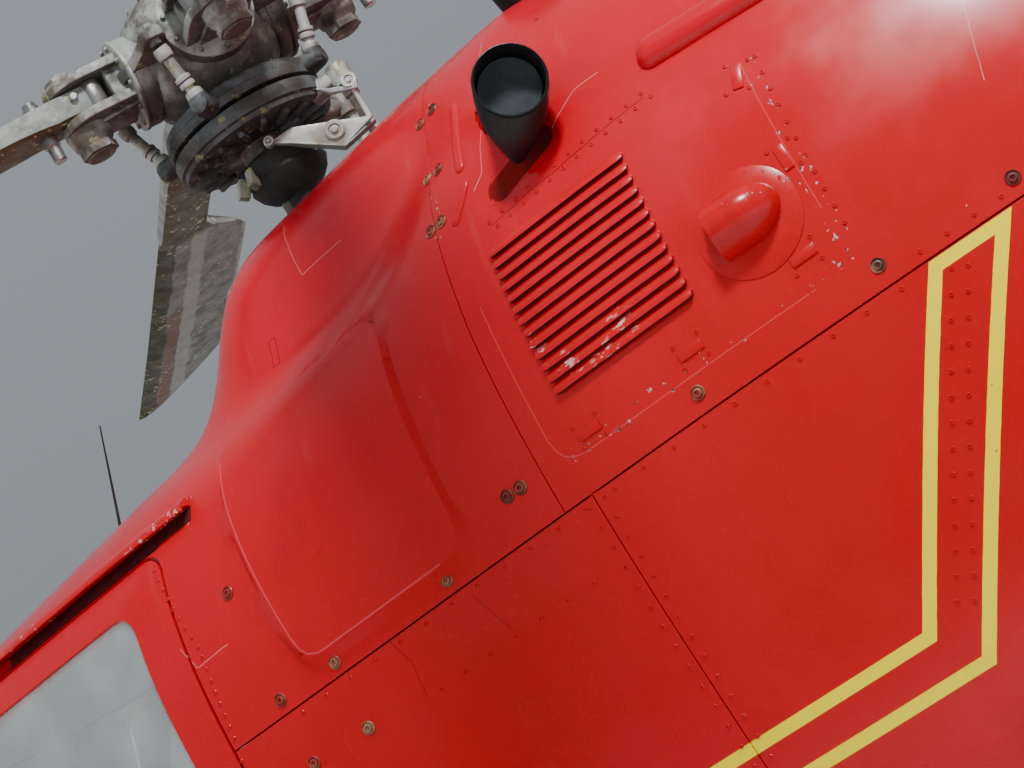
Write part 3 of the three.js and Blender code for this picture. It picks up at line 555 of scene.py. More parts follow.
def red_paint(name="red_paint", striped=False, worn=False):
    paint = Finish(name, (0.5, 0.0, 0.0), 0.3, coat_weight=0.05, coat_roughness=0.08,
                   specular_ior_level=0.36)
    fade = paint.ramp(paint.noise(1.1, 4), 0.38, 0.72)
    # Painted sheen, together with sun fading: the red is mixed lighter and pinker towards the top.
    height = paint.ramp(paint.z, 1.6, 2.6)
    red = paint.mix(fade, (0.53, 0.0, 0.003), (0.60, 0.001, 0.010))
    red = paint.mix(paint.times(height, 0.5), red, (0.64, 0.008, 0.034))
    runs = paint.ramp(paint.noise(9, 3, stretch=(1, 3.2, 0.16)), 0.58, 0.80)
    runs = paint.all_of(runs, paint.ramp(paint.z, 1.5, 2.1))
    red = paint.mix(paint.times(runs, 0.12), red, (0.70, 0.16, 0.18))
    if striped:
        wobble = paint.times(paint.minus(paint.noise(40, 1), 0.5), 0.0012)
        mask = paint.all_of(between_stripes(paint, STRIPE_WIDTH / 2, wobble),
                            paint.without(between_stripes(paint, -STRIPE_WIDTH / 2, wobble)))
        rubbed = paint.ramp(paint.noise(70, 4), 0.70, 0.74)
        yellow = paint.mix(fade, (1.0, 0.78, 0.0), (1.0, 0.82, 0.0))
        red = paint.mix(paint.all_of(mask, paint.without(rubbed)), red, yellow)
    wander = paint.times(paint.minus(paint.noise(9, 2), 0.5), 0.012)
    for lines, strength, shade in ((SEAM_LINES, 0.75, (0.10, 0.0, 0.002)),
                                   (CREASES, 0.6, (0.74, 0.26, 0.27))):
        for line in lines:
            red = paint.mix(paint.times(paint.strokes(line, SEAM_WIDTH, wander), strength), red, shade)
    # Painted highlights: lighter red along the pressed panel's and the hatch's edges.
    for lines, width, strength in ((PRESSED_EDGE_HIGHLIGHTS, EDGE_HIGHLIGHT_WIDTH, 0.42), (HATCH_EDGE_HIGHLIGHTS, HATCH_HIGHLIGHT_WIDTH, 0.32)):
        for line in lines:
            edge = paint.times(paint.strokes(line, width), strength)
            red = paint.mix(edge, red, (0.86, 0.10, 0.12))
    flakes = paint.ramp(paint.noise(90, 5), 0.63, 0.66)
    for line in CHIPPED:
        chip = paint.all_of(flakes, paint.strokes(line, CHIP_WIDTH, wander))
        red = paint.mix(chip, red, paint.mix(paint.ramp(paint.noise(150, 2), 0.45, 0.55),
                                             (0.13, 0.03, 0.025), (0.48, 0.34, 0.30)))
    if worn:
        rubbed = paint.all_of(paint.ramp(paint.noise(85, 5, shift=(2, 0, 5)), 0.62, 0.66),
                              paint.ramp(paint.noise(7, 2, shift=(5, 5, 0)), 0.54, 0.62),
                              paint.ramp(paint.z, 1.950, 1.958))
        for x, y, z in SCUFFS:
            reach = paint.near((x, aft(y), z), SCUFF_REACH)
            grain = paint.math("MULTIPLY_ADD", reach, 0.22, paint.noise(110, 5, stretch=(1, 0.5, 1)))
            rubbed = paint.math("MAXIMUM", rubbed, paint.all_of(paint.ramp(grain, 0.68, 0.73), reach))
        red = paint.mix(rubbed, red, (0.72, 0.42, 0.40))
    chips = paint.all_of(paint.ramp(paint.spots(34), 0.05, 0.035),
                         paint.ramp(paint.noise(2.6, 5, shift=(3, 1, 2)), 0.62, 0.68))
    red = paint.mix(chips, red, (0.50, 0.36, 0.33))
    grime = paint.ramp(paint.noise(5, 6, stretch=(1, 1, 0.5), shift=(7, 0, 0)), 0.58, 0.9)
    red = paint.mix(paint.times(grime, 0.4), red, (0.16, 0.001, 0.004))
    paint.colour(red)
    paint.rough(paint.ramp(paint.noise(6, 5), 0.3, 0.75, 0.20, 0.36))
    dents = paint.plus(paint.noise(3.2, 2), paint.times(paint.noise(120, 2), 0.02))
    paint.bump(dents, 0.005, 0.18)
    return paint.material


RED = red_paint()
RED_STRIPED = red_paint("red_paint_striped", striped=True)
RED_WORN = red_paint("red_paint_worn", worn=True)
print("red paint:", len(RED_STRIPED.node_tree.nodes), "nodes")

# %% [markdown]
# The other finishes are simpler. Bare castings are grey with brown rust and a yellow-green bloom of
# lichen; the acrylic windows are hazy; rubber, plastic and soot are almost black but never quite even.

# %% Metal, glass, rubber and the rest
def plain(name, colour, other, roughness, scale, metallic=0.0, depth=0.0005, amount=0.8, **sockets):
    """A finish of two close colours in patches, with a fine grain."""
    finish = Finish(name, colour, roughness, metallic, **sockets)
    patches = finish.ramp(finish.noise(scale, 5), 0.35, 0.70)
    finish.colour(finish.mix(finish.times(patches, amount), colour, other))
    finish.rough(finish.ramp(finish.noise(scale * 2.3, 4), 0.3, 0.7, roughness - 0.08, roughness + 0.1))
    finish.bump(finish.noise(scale * 12, 3), depth)
    return finish.material


def corroded(name, base, rust, lichen, dirt, roughness=0.62):
    """Bare metal left outdoors: patches and lichen, and painted shade in browns on all that faces down."""
    shade_brown, deep_shade_brown = [tuple(share * part for part in rust) for share in (0.5, 0.35)]
    metal = Finish(name, base, roughness, 0.2)
    patch = metal.ramp(metal.noise(9, 8, roughness=0.65), 0.44, 0.60)
    colour = metal.mix(patch, base, rust)
    darker = metal.ramp(metal.noise(17, 7, shift=(4, 2, 0)), 0.50, 0.66)
    colour = metal.mix(metal.times(darker, 0.8), colour, dirt)
    # Painted shade: all that faces down is mixed towards browns.
    belly = metal.plus(metal.faces_down(), metal.times(metal.noise(20, 5, shift=(8, 8, 8)), 0.5))
    belly = metal.ramp(belly, 0.50, 0.85)
    colour = metal.mix(metal.times(belly, 0.85), colour,
                       metal.mix(metal.ramp(metal.noise(12, 5, shift=(0, 3, 6)), 0.4, 0.6), shade_brown,
                                 deep_shade_brown))
    bloom = metal.times(metal.ramp(metal.noise(34, 8, shift=(1, 5, 3)), 0.60, 0.68),
                       metal.ramp(metal.noise(4, 3, shift=(9, 0, 2)), 0.42, 0.56))
    colour = metal.mix(bloom, colour, lichen)
    metal.colour(colour)
    metal.rough(metal.ramp(metal.noise(30, 5), 0.3, 0.7, roughness - 0.15, roughness + 0.22))
    metal.bump(metal.plus(metal.noise(60, 6), metal.times(bloom, 0.8)), 0.0022, 0.8)
    return metal.material


CASTING = corroded("casting", (0.36, 0.37, 0.34), (0.13, 0.105, 0.08), (0.32, 0.32, 0.18),
                   (0.05, 0.05, 0.045))
LEVER_GREY = corroded("lever_grey", (0.60, 0.63, 0.62), (0.50, 0.50, 0.46), (0.45, 0.46, 0.30),
                      (0.30, 0.26, 0.22), 0.5)
LICHEN_GREY = corroded("lichen_grey", (0.45, 0.46, 0.36), (0.30, 0.31, 0.20), (0.55, 0.60, 0.20),
                       (0.12, 0.12, 0.08))
CASTING_DARK = corroded("casting_dark", (0.105, 0.115, 0.12), (0.060, 0.054, 0.048), (0.20, 0.21, 0.11),
                        (0.02, 0.02, 0.02))
ROD_GREY = corroded("rod_grey", (0.48, 0.49, 0.46), (0.22, 0.19, 0.15), (0.42, 0.44, 0.24),
                    (0.16, 0.15, 0.13), 0.5)
BRASS = corroded("fastener", (0.34, 0.18, 0.09), (0.30, 0.03, 0.02), (0.55, 0.42, 0.26),
                 (0.07, 0.02, 0.015), 0.45)
SOOT = plain("soot", (0.004, 0.004, 0.004), (0.013, 0.012, 0.010), 0.40, 14, 0.0, 0.0006,
             specular_ior_level=0.4)
SOOT_INSIDE = plain("soot_inside", (0.045, 0.052, 0.057), (0.068, 0.076, 0.082), 0.85, 30, 0.0, 0.0012,
                    specular_ior_level=0.12)
# Dark red-brown for the exhaust dish: soot, and painted shade in the hollow.
SCORCHED_AND_SHADED = plain("scorched_paint", (0.22, 0.003, 0.004), (0.050, 0.010, 0.006), 0.7, 16,
                 specular_ior_level=0.15)
RUBBER = plain("rubber", (0.018, 0.018, 0.018), (0.035, 0.034, 0.032), 0.7, 12)
DARK_PLASTIC = plain("dark_plastic", (0.02, 0.021, 0.022), (0.035, 0.035, 0.036), 0.5, 40, depth=0.0003)
CABIN_GREY = plain("cabin_grey", (0.50, 0.50, 0.47), (0.42, 0.42, 0.40), 0.55, 6)
FLOOR_GREY = plain("cabin_floor_grey", (0.16, 0.165, 0.17), (0.11, 0.11, 0.115), 0.7, 18, depth=0.001)
SKID_GREY = plain("skid_grey", (0.10, 0.10, 0.105), (0.17, 0.165, 0.16), 0.5, 8, 0.2)
# Near-black: dark joints in the grooves, and painted shade inside the intake hood and in the roof track.
JOINT_AND_SHADE_DARK = plain("slot_dark", (0.045, 0.001, 0.002), (0.085, 0.002, 0.003), 0.7, 30)
# Painted shade for the louvres' slots.
LOUVRE_SHADE = plain("louvre_dark", (0.13, 0.0, 0.002), (0.18, 0.001, 0.004), 0.7, 30)
STEEL = plain("steel", (0.42, 0.42, 0.41), (0.30, 0.29, 0.28), 0.38, 20, 0.85)
STUDIO_FLOOR = plain("studio_floor", (0.72, 0.72, 0.71), (0.69, 0.69, 0.68), 0.75, 0.6, depth=0.0)


def hazy_glass():
    glass = Finish("hazy_glass", (0.58, 0.64, 0.62), 0.10, alpha=0.30)
    haze = glass.ramp(glass.noise(7, 5), 0.35, 0.75)
    glass.colour(glass.mix(haze, (0.52, 0.58, 0.57), (0.74, 0.78, 0.77)))
    glass.rough(glass.ramp(glass.noise(16, 5), 0.4, 0.7, 0.05, 0.16))
    return glass.material


def blade_paint():
    """Bands along the blade, read from its own map: distance out, and place across."""
    coat = Finish("blade_skin", (0.2, 0.2, 0.17), 0.6)
    place = coat.nodes.new("ShaderNodeUVMap")
    place.uv_map = "blade"
    out, across, _ = coat.split(place.outputs[0])
    wander = coat.times(coat.minus(coat.noise(14, 4), 0.5), 0.03)
    across = coat.plus(across, wander)
    patches = coat.ramp(coat.noise(22, 7, roughness=0.65), 0.42, 0.60)
    colour = coat.mix(patches, (0.20, 0.20, 0.175), (0.12, 0.12, 0.10))
    light = coat.all_of(coat.ramp(across, -0.085, -0.075), coat.ramp(across, -0.028, -0.036))
    colour = coat.mix(coat.times(light, 0.8), colour, (0.33, 0.33, 0.30))
    brown = coat.all_of(coat.ramp(across, -0.034, -0.026), coat.ramp(out, 1.5, 1.7))
    colour = coat.mix(coat.times(brown, 0.85), colour, (0.17, 0.085, 0.05))
    lead = coat.ramp(across, 0.010, 0.016)
    colour = coat.mix(lead, colour, coat.mix(patches, (0.060, 0.055, 0.018), (0.028, 0.026, 0.010)))
    neck = coat.ramp(out, 1.08, 1.02)
    colour = coat.mix(neck, colour, coat.mix(patches, (0.30, 0.31, 0.29), (0.20, 0.21, 0.19)))
    # Painted shade: the neck's underside is mixed towards a dark brown.
    under = coat.all_of(neck, coat.ramp(coat.faces_down(), 0.35, 0.7))
    colour = coat.mix(under, colour, coat.mix(patches, (0.085, 0.075, 0.025), (0.06, 0.045, 0.02)))
    edge = coat.ramp(across, -0.200, -0.206)
    colour = coat.mix(coat.times(edge, 0.7), colour, (0.40, 0.40, 0.36))
    flecks = coat.all_of(coat.ramp(coat.noise(60, 8, shift=(2, 2, 2)), 0.60, 0.64),
                               coat.ramp(coat.noise(5, 2), 0.42, 0.55))
    colour = coat.mix(flecks, colour, (0.42, 0.44, 0.24))
    coat.colour(colour)
    coat.rough(coat.ramp(coat.noise(18, 4), 0.3, 0.7, 0.45, 0.75))
    coat.bump(coat.plus(coat.noise(80, 4), coat.times(flecks, 0.6)), 0.0012, 0.6)
    return coat.material


GLASS = hazy_glass()
BLADE_SKIN = blade_paint()
floor.data.materials.append(STUDIO_FLOOR)
print(len(bpy.data.materials), "finishes")

# %% [markdown]
# Every finished piece goes through one door: its place goes into its mesh, it is smoothed where its faces
# meet at a shallow angle, it gets its finish, it rides on its body, and the nodes of the frame that it
# stands for are hidden.

# %% Finishing a piece
SMOOTH_ANGLE = 32


def dressed(piece, *materials):
    """Give a piece its finishes before it is joined to others."""
    for material in materials:
        piece.data.materials.append(material)
    return piece


def finish(piece, name, slot, *materials, body="airframe", stands_for=(), angle=SMOOTH_ANGLE):
    settled(piece)
    bpy.ops.object.shade_smooth_by_angle(angle=math.radians(angle))
    piece.name = piece.data.name = name
    dressed(piece, *materials)
    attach(piece, body)
    if stands_for:
        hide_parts(*stands_for)
    print(f"{name}: {len(piece.data.polygons)} faces")
    return piece


# %% [markdown]
# ## The body
# The fuselage, cabin roof, fairing and cowling are one flowing form on the real aircraft, made of riveted
# sheet and moulded covers. So one skin is lofted first, from a table of stations along the body. Between
# the stations each column follows a smooth line that never overshoots, which keeps the reflections calm.

# %% Stations along the body
STATIONS = (
    # distance aft, half width, bottom, top, waist, power of the upper curve, of the lower curve,
    # half width of the hump, top of the hump
    (-2.46, 0.060, 0.950, 1.070, 1.010, 2.0, 2.00, 0.480, 0),
    (-2.44, 0.165, 0.865, 1.145, 1.007, 2.0, 2.00, 0.480, 0),
    (-2.39, 0.285, 0.765, 1.230, 1.003, 2.0, 2.05, 0.480, 0),
    (-2.29, 0.415, 0.665, 1.350, 1.000, 2.1, 2.15, 0.480, 0),
    (-2.12, 0.540, 0.575, 1.510, 1.000, 2.2, 2.30, 0.480, 0),
    (-1.85, 0.655, 0.500, 1.735, 1.005, 2.4, 2.50, 0.480, 0),
    (-1.55, 0.735, 0.455, 1.930, 1.030, 2.7, 2.70, 0.480, 0),
    (-1.35, 0.765, 0.442, 1.998, 1.050, 3, 2.80, 0.480, 0),
    (-1.1, 0.784, 0.436, 2.048, 1.080, 3.3, 2.80, 0.480, 0),
    (-0.7, 0.790, 0.435, 2.080, 1.120, 3.5, 2.80, 0.480, 0),
    (-0.47, 0.790, 0.435, 2.100, 1.140, 3.5, 2.80, 0.480, 1.900),
    (-0.30, 0.790, 0.435, 2.115, 1.150, 3.5, 2.80, 0.480, 2.060),
    (-0.215, 0.790, 0.435, 2.117, 1.150, 3.5, 2.80, 0.480, 2.190),
    (-0.14, 0.790, 0.435, 2.119, 1.150, 3.5, 2.80, 0.480, 2.300),
    (-0.075, 0.790, 0.435, 2.121, 1.150, 3.5, 2.80, 0.480, 2.385),
    (0.02, 0.790, 0.435, 2.125, 1.150, 3.5, 2.80, 0.480, 2.408),
    (0.25, 0.790, 0.437, 2.160, 1.150, 3.3, 2.80, 0.490, 2.413),
    (0.43, 0.789, 0.440, 2.240, 1.150, 3.1, 2.80, 0.500, 2.416),
    (0.6, 0.786, 0.445, 2.360, 1.150, 2.7, 2.75, 0.495, 2.412),
    (0.78, 0.777, 0.455, 2.400, 1.152, 2.5, 2.70, 0.460, 2.392),
    (1.05, 0.735, 0.505, 2.345, 1.165, 2.36, 2.60, 0.400, 0),
    (1.4, 0.635, 0.675, 2.250, 1.240, 2.18, 2.40, 0.400, 0),
    (1.75, 0.455, 1.050, 2.145, 1.480, 2.0, 2.20, 0.400, 0),
    (2.10, 0.285, 1.465, 2.035, 1.750, 2.0, 2.00, 0.400, 0),
)
HUMP_POWER, HUMP_FILLET, HUMP_LEAST = 4.5, 0.09, 0.2
SKIN_SIDES, SKIN_STEP = 176, 0.026
SMOOTH_ROUNDS = 14


def slopes(places, values):
    """Slopes of a smooth line through the values that never swings past them."""
    steps = [(b - a) / (q - p) for a, b, p, q in zip(values, values[1:], places, places[1:])]
    inner = [0 if a * b <= 0 else 2 * a * b / (a + b) for a, b in zip(steps, steps[1:])]
    return [steps[0], *inner, steps[-1]]


PLACES = [row[0] for row in STATIONS]
COLUMNS = list(zip(*STATIONS))
SLOPES = [slopes(PLACES, column) for column in COLUMNS]


def row_at(y):
    i = max(k for k, place in enumerate(PLACES[:-1]) if place <= y + 1e-9)
    span = PLACES[i + 1] - PLACES[i]
    t = (y - PLACES[i]) / span
    return [(2 * t**3 - 3 * t**2 + 1) * c[i] + (t**3 - 2 * t**2 + t) * span * m[i]
            + (3 * t**2 - 2 * t**3) * c[i + 1] + (t**3 - t**2) * span * m[i + 1]
            for c, m in zip(COLUMNS, SLOPES)]


print(len(STATIONS), "stations from", PLACES[0], "to", PLACES[-1])

# %% [markdown]
# A section is a rounded box, narrower or fuller by its power. Above the mast a second, boxier curve
# stands on the roof and blends into it through a hollow fillet: that is the hump.

# %% One section, and the whole skin
def reach(cos, sin, half_width, height, power):
    return (abs(cos / half_width) ** power + abs(sin / height) ** power) ** (-1 / power)


def section_reach(cos, sin, row):
    _, half_width, bottom, top, waist, upper, lower, hump_half, hump_top = row
    if sin <= 0:
        return reach(cos, sin, half_width, waist - bottom, lower)
    base = reach(cos, sin, half_width, top - waist, upper)
    if hump_top < waist + HUMP_LEAST:
        return base
    hump = reach(cos, sin, hump_half, hump_top - waist, HUMP_POWER)
    close = max(HUMP_FILLET - abs(base - hump), 0) / HUMP_FILLET
    return max(base, hump) + close * close * HUMP_FILLET / 4


def section(row, sides=SKIN_SIDES):
    y, half_width, bottom, top, waist, upper, lower = row[:7]
    ring = []
    for i in range(sides):
        turn = (i + 0.5) / sides * math.tau
        cos, sin = math.cos(turn), math.sin(turn)
        power, high = (upper, top - waist) if sin > 0 else (lower, waist - bottom)
        x = math.copysign(abs(cos) ** (2 / power) * half_width, cos)
        z = math.copysign(abs(sin) ** (2 / power) * high, sin)
        far = math.hypot(x, z)
        long = section_reach(x / far, z / far, row)
        ring.append((x / far * long, aft(y), waist + z / far * long))
    return ring


def body_skin():
    rings = []
    for a, b in zip(PLACES, PLACES[1:]):
        count = max(2, round((b - a) / SKIN_STEP))
        rings += [section(row_at(a + (b - a) * i / count)) for i in range(count)]
    rings.append(section(row_at(PLACES[-1])))
    return loft(rings)


skin = body_skin()
pick(skin, "verts", lambda vert: vert.co.z > 1.9 and aft(-0.42) < vert.co.y < aft(0.78))
bpy.ops.mesh.vertices_smooth(factor=0.5, repeat=SMOOTH_ROUNDS)
hold(skin)
SKIN_TREE = BVHTree.FromObject(skin, bpy.context.evaluated_depsgraph_get())
print("skin:", len(skin.data.polygons), "faces")


def on_side(y, z, side=1):
    """Place and outward direction on the skin's side at a distance aft and a height."""
    spot, normal, _, _ = SKIN_TREE.ray_cast(Vector((side * 2, aft(y), z)), Vector((-side, 0, 0)))
    return spot, normal


# %% [markdown]
# Doors, windows and seams are scored into the skin, as a sheet-metal worker scores a blank. An outline in
# the side view is extruded into a thin-walled prism right through the body, the intersect tool cuts its
# walls into the skin, and the prisms are thrown away. What stays is the skin with every outline as real
# edges.

# %% Outlines in the side view
DECK_Z, EAVE_Z = 1.54, 1.935
ROOF_END, DOOR_REAR, COWL_SPLIT, SCREEN_REAR, SCREEN_FOOT = -0.47, -0.27, 0.52, -1.56, 1.15
SEAM, DOOR_GAP = 0.0016, 0.006
FAR = 4.0


def rounded(outline, radius, steps=6):
    """Round the corners of an outline with short curves."""
    points = []
    for before, here, after in zip(outline[-1:] + outline[:-1], outline, outline[1:] + outline[:1]):
        here = Vector(here)
        back, ahead = Vector(before) - here, Vector(after) - here
        cut = min(radius, back.length * 0.45, ahead.length * 0.45)
        start, end = here + back.normalized() * cut, here + ahead.normalized() * cut
        for k in range(steps + 1):
            t = k / steps
            points.append(tuple((1 - t) ** 2 * start + 2 * t * (1 - t) * here + t ** 2 * end))
    return points


def grown(outline, by):
    """The same outline moved outwards, or inwards where by is negative."""
    area = sum(a[0] * b[1] - b[0] * a[1] for a, b in zip(outline, outline[1:] + outline[:1]))
    moved = []
    for before, here, after in zip(outline[-1:] + outline[:-1], outline, outline[1:] + outline[:1]):
        first = Vector((here[1] - before[1], before[0] - here[0])).normalized()
        second = Vector((after[1] - here[1], here[0] - after[0])).normalized()
        out = (first + second).normalized() * math.copysign(by, area)
        moved.append((here[0] + out.x, here[1] + out.y))
    return moved


def within(outline, y, z):
    inside = False
    for (y0, z0), (y1, z1) in zip(outline, outline[1:] + outline[:1]):
        if (z0 > z) != (z1 > z) and y < y0 + (z - z0) / (z1 - z0) * (y1 - y0):
            inside = not inside
    return inside


FRONT_DOOR = rounded([(-1.96, 0.69), (-1.96, 1.18), (-1.545, 1.77), (-1.44, 1.885), (-1.34, EAVE_Z - 0.008),
                      (-1.082, EAVE_Z - 0.008), (-1.082, 0.62), (-1.88, 0.62)], 0.06)
FRONT_WINDOW = rounded([(-1.88, 1.09), (-1.88, 1.20), (-1.50, 1.745), (-1.39, 1.85), (-1.155, 1.865),
                        (-1.155, 1.05), (-1.84, 1.05)], 0.045)
SLIDE_DOOR = rounded([(-1.07, EAVE_Z - 0.008), (DOOR_REAR, EAVE_Z - 0.008), (DOOR_REAR, 0.62),
                      (-1.07, 0.62)], 0.05)
SLIDE_WINDOW = rounded([(-0.99, 1.868), (-0.365, 1.868), (-0.345, 1.10), (-0.99, 1.05)], 0.06)
REAR_DOORS = [(1.452, 1.43), (2.3, 1.43), (2.3, 0.38), (0.85, 0.38)]
CHIN_WINDOW = rounded([(-2.36, 0.80), (-2.36, 1.06), (-2.04, 1.06), (-2.04, 0.64), (-2.16, 0.64)], 0.06)
SCREEN = rounded([(-2.42, 1.185), (-1.61, 1.185), (-1.61, 1.88), (-1.90, 1.88), (-2.42, 1.50)], 0.04)
PILLAR = grown(FRONT_DOOR, 0.075)
STAMPED_PANEL = rounded([(-0.089, 2.02), (-0.069, 1.85), (-0.040, 1.592), (0.335, 1.592), (0.335, 2.02)],
                        0.05)
ENGINE_HATCH = rounded([(0.556, 2.035), (0.556, 1.600), (1.114, 1.600), (1.114, 2.035)], 0.05)
SMALL_HATCH = rounded([(-0.145, 1.532), (-0.145, 1.425), (0.015, 1.425), (0.015, 1.532)], 0.01)
CORNER_PATCH = rounded([(-0.262, 1.925), (-0.250, 1.700), (-0.160, 1.700), (-0.160, 1.925)], 0.008)
SIDE_SHEET = [(0.575, 1.60), (0.575, 0.30), (0.577, 0.30), (0.577, 1.60)]
HALF_SCREEN_POST, LEAST_X, HALF_SEAM = 0.03, 0.3, 0.003
BEAD, GROOVE, DISH_EDGE = 0.006, 0.0026, 0.004
DISH_ENDS, DISH_HALF = ((0.666, 2.056), (0.765, 2.083)), 0.022


def capsule(start, end, half, steps=12):
    """An outline with two straight sides and two round ends."""
    start, end = Vector(start), Vector(end)
    turn = math.atan2(end.y - start.y, end.x - start.x)
    outline = []
    for centre, first in ((end, turn - math.pi / 2), (start, turn + math.pi / 2)):
        turns = [first + i / steps * math.pi for i in range(steps + 1)]
        outline += [tuple(centre + half * Vector((math.cos(angle), math.sin(angle)))) for angle in turns]
    return outline


DISH = capsule(*DISH_ENDS, DISH_HALF)
INSETS = ((STAMPED_PANEL, BEAD), (ENGINE_HATCH, GROOVE), (SMALL_HATCH, GROOVE), (CORNER_PATCH, GROOVE),
          (DISH, DISH_EDGE))
print(len(INSETS), "outlines get a second line a little further in")


# %% Score the outlines into the skin
def walls(outline, low=-2.0, high=2.0):
    """The side walls of a prism whose outline is in the side view."""
    return loft([[(x, aft(y), z) for y, z in outline] for x in (low, high)], ends=False)


def both_sides(outline):
    return [walls(outline, LEAST_X, 2.0), walls(outline, -2.0, -LEAST_X)]


def slit(axis, place, half=SEAM / 2):
    """Two parallel cuts right through, close together."""
    low, high = [-FAR, -FAR, -FAR], [FAR, FAR + 3, FAR]
    low[axis], high[axis] = place - half, place + half
    return block(low, high)


def scored(piece, cutters):
    hold(piece, "EDIT")
    mesh = bmesh.from_edit_mesh(piece.data)
    mark = mesh.faces.layers.int.new("skin")
    for face in mesh.faces:
        face[mark] = 1
    bmesh.update_edit_mesh(piece.data)
    hold(piece)
    piece = joined(piece, *cutters)
    unmarked = lambda face: face[bmesh.from_edit_mesh(piece.data).faces.layers.int["skin"]] == 0
    pick(piece, "faces", unmarked)
    bpy.ops.mesh.intersect(mode="SELECT_UNSELECT", separate_mode="CUT", solver="EXACT")
    pick(piece, "faces", unmarked)
    bpy.ops.mesh.delete(type="FACE")
    bpy.ops.mesh.select_all(action="SELECT")
    bpy.ops.mesh.remove_doubles(threshold=0.00002)
    hold(piece)
    return piece


MAST_HOLE, EXHAUST_RADIUS, EXHAUST_HOLE = 0.245, 0.063, 0.0535
EXHAUST_OUTER = (Vector((0.345, aft(0.598), 2.166)), Vector((0.670, aft(0.808), 2.168)))
EXHAUST_INNER = (Vector((0.110, aft(0.700), 1.930)), Vector((0.225, aft(0.745), 2.495)))

cutters = [slit(2, DECK_Z, SEAM), slit(2, EAVE_Z, SEAM), slit(1, aft(ROOF_END), SEAM / 2),
           slit(1, aft(COWL_SPLIT), SEAM / 2), slit(1, aft(SCREEN_REAR), SEAM / 2),
           slit(2, SCREEN_FOOT, SEAM / 2), slit(0, 0, HALF_SEAM), walls(REAR_DOORS),
           walls(grown(REAR_DOORS, DOOR_GAP)),
           block((-HALF_SCREEN_POST, aft(-2.5), SCREEN_FOOT),
                 (HALF_SCREEN_POST, aft(SCREEN_REAR - 0.01), 2.2)),
           rod((0, HUB.y, 2.2), (0, HUB.y, 2.7), MAST_HOLE, sides=64)]
for outline in (FRONT_DOOR, SLIDE_DOOR):
    cutters += both_sides(outline) + both_sides(grown(outline, DOOR_GAP))
for outline in (FRONT_WINDOW, SLIDE_WINDOW, PILLAR, SIDE_SHEET):
    cutters += both_sides(outline)
cutters += [walls(SCREEN), walls(CHIN_WINDOW)]
for outline, edge in INSETS:
    cutters += both_sides(outline) + both_sides(grown(outline, -edge))
for foot, head in (EXHAUST_OUTER, EXHAUST_INNER):
    past = head + (head - foot) * 0.3
    cutters += [rod(foot, past, EXHAUST_HOLE, sides=40),
                rod(MIRROR @ foot, MIRROR @ past, EXHAUST_HOLE, sides=40)]
skin = scored(skin, cutters)
print("scored skin:", len(skin.data.polygons), "faces")

# %% [markdown]
# Every face now lies wholly inside one panel, so it is enough to ask where its middle is. The faces that
# fall in a door gap or a seam belong to nothing and are deleted: that is how the dark gaps between panels
# come.

# %% Which panel a face belongs to
REAR_GAP = grown(REAR_DOORS, DOOR_GAP)
HOLES = [(foot, (head - foot).normalized()) for foot, head in (EXHAUST_OUTER, EXHAUST_INNER)]


def in_hole(x, y, z):
    if math.hypot(x, y) < MAST_HOLE and z > 2.2:
        return True
    spot = Vector((abs(x), aft(y), z))
    return any((spot - foot).cross(way).length < EXHAUST_HOLE and z > 1.9 for foot, way in HOLES)


def side_part(y, z, side):
    """A door, its glass or its gap, or None where the side is plain."""
    for name, door, window in (("door_front", FRONT_DOOR, FRONT_WINDOW),
                               ("door_slide", SLIDE_DOOR, SLIDE_WINDOW)):
        if within(window, y, z):
            return f"{name}_glass_{side}"
        if within(door, y, z):
            return f"{name}_{side}"
        if within(grown(door, DOOR_GAP), y, z):
            return "gap"
    return None


def part_of(x, y, z):
    side = "port" if x > 0 else "starboard"
    if y > PLACES[-1] - 0.001 or in_hole(x, y, z):
        return "gap"
    part = side_part(y, z, side) if abs(x) > LEAST_X and y < 0 else None
    if part:
        return part
    if within(CHIN_WINDOW, y, z):
        return "chin_window_" + side
    if within(REAR_DOORS, y, z):
        return "gap" if abs(x) < HALF_SEAM else "rear_door_" + side
    deck_seam = y > DOOR_REAR and abs(z - DECK_Z) < SEAM
    eave_seam = SCREEN_REAR < y < DOOR_REAR and abs(z - EAVE_Z) < SEAM
    if within(REAR_GAP, y, z) or deck_seam or eave_seam:
        return "gap"
    if y < SCREEN_REAR:
        if z < SCREEN_FOOT:
            return "pod_shell"
        beside_post = abs(x) > HALF_SCREEN_POST
        on_pillar = abs(x) > LEAST_X and within(PILLAR, y, z)
        glazed = within(SCREEN, y, z) and beside_post and not on_pillar
        return "windscreen_" + side if glazed else "windscreen_frame"
    if y < ROOF_END:
        return "cabin_roof" if z > EAVE_Z else "pod_shell"
    if y < COWL_SPLIT - SEAM / 2:
        return "transmission_fairing" if z > (EAVE_Z if y < DOOR_REAR else DECK_Z) else "pod_shell"
    if y < COWL_SPLIT + SEAM / 2 and z > DECK_Z:
        return "gap"
    return "engine_cowling" if z > DECK_Z else "pod_shell"


def middle(face):
    spot = face.calc_center_median()
    return spot.x, spot.y - HUB.y, spot.z


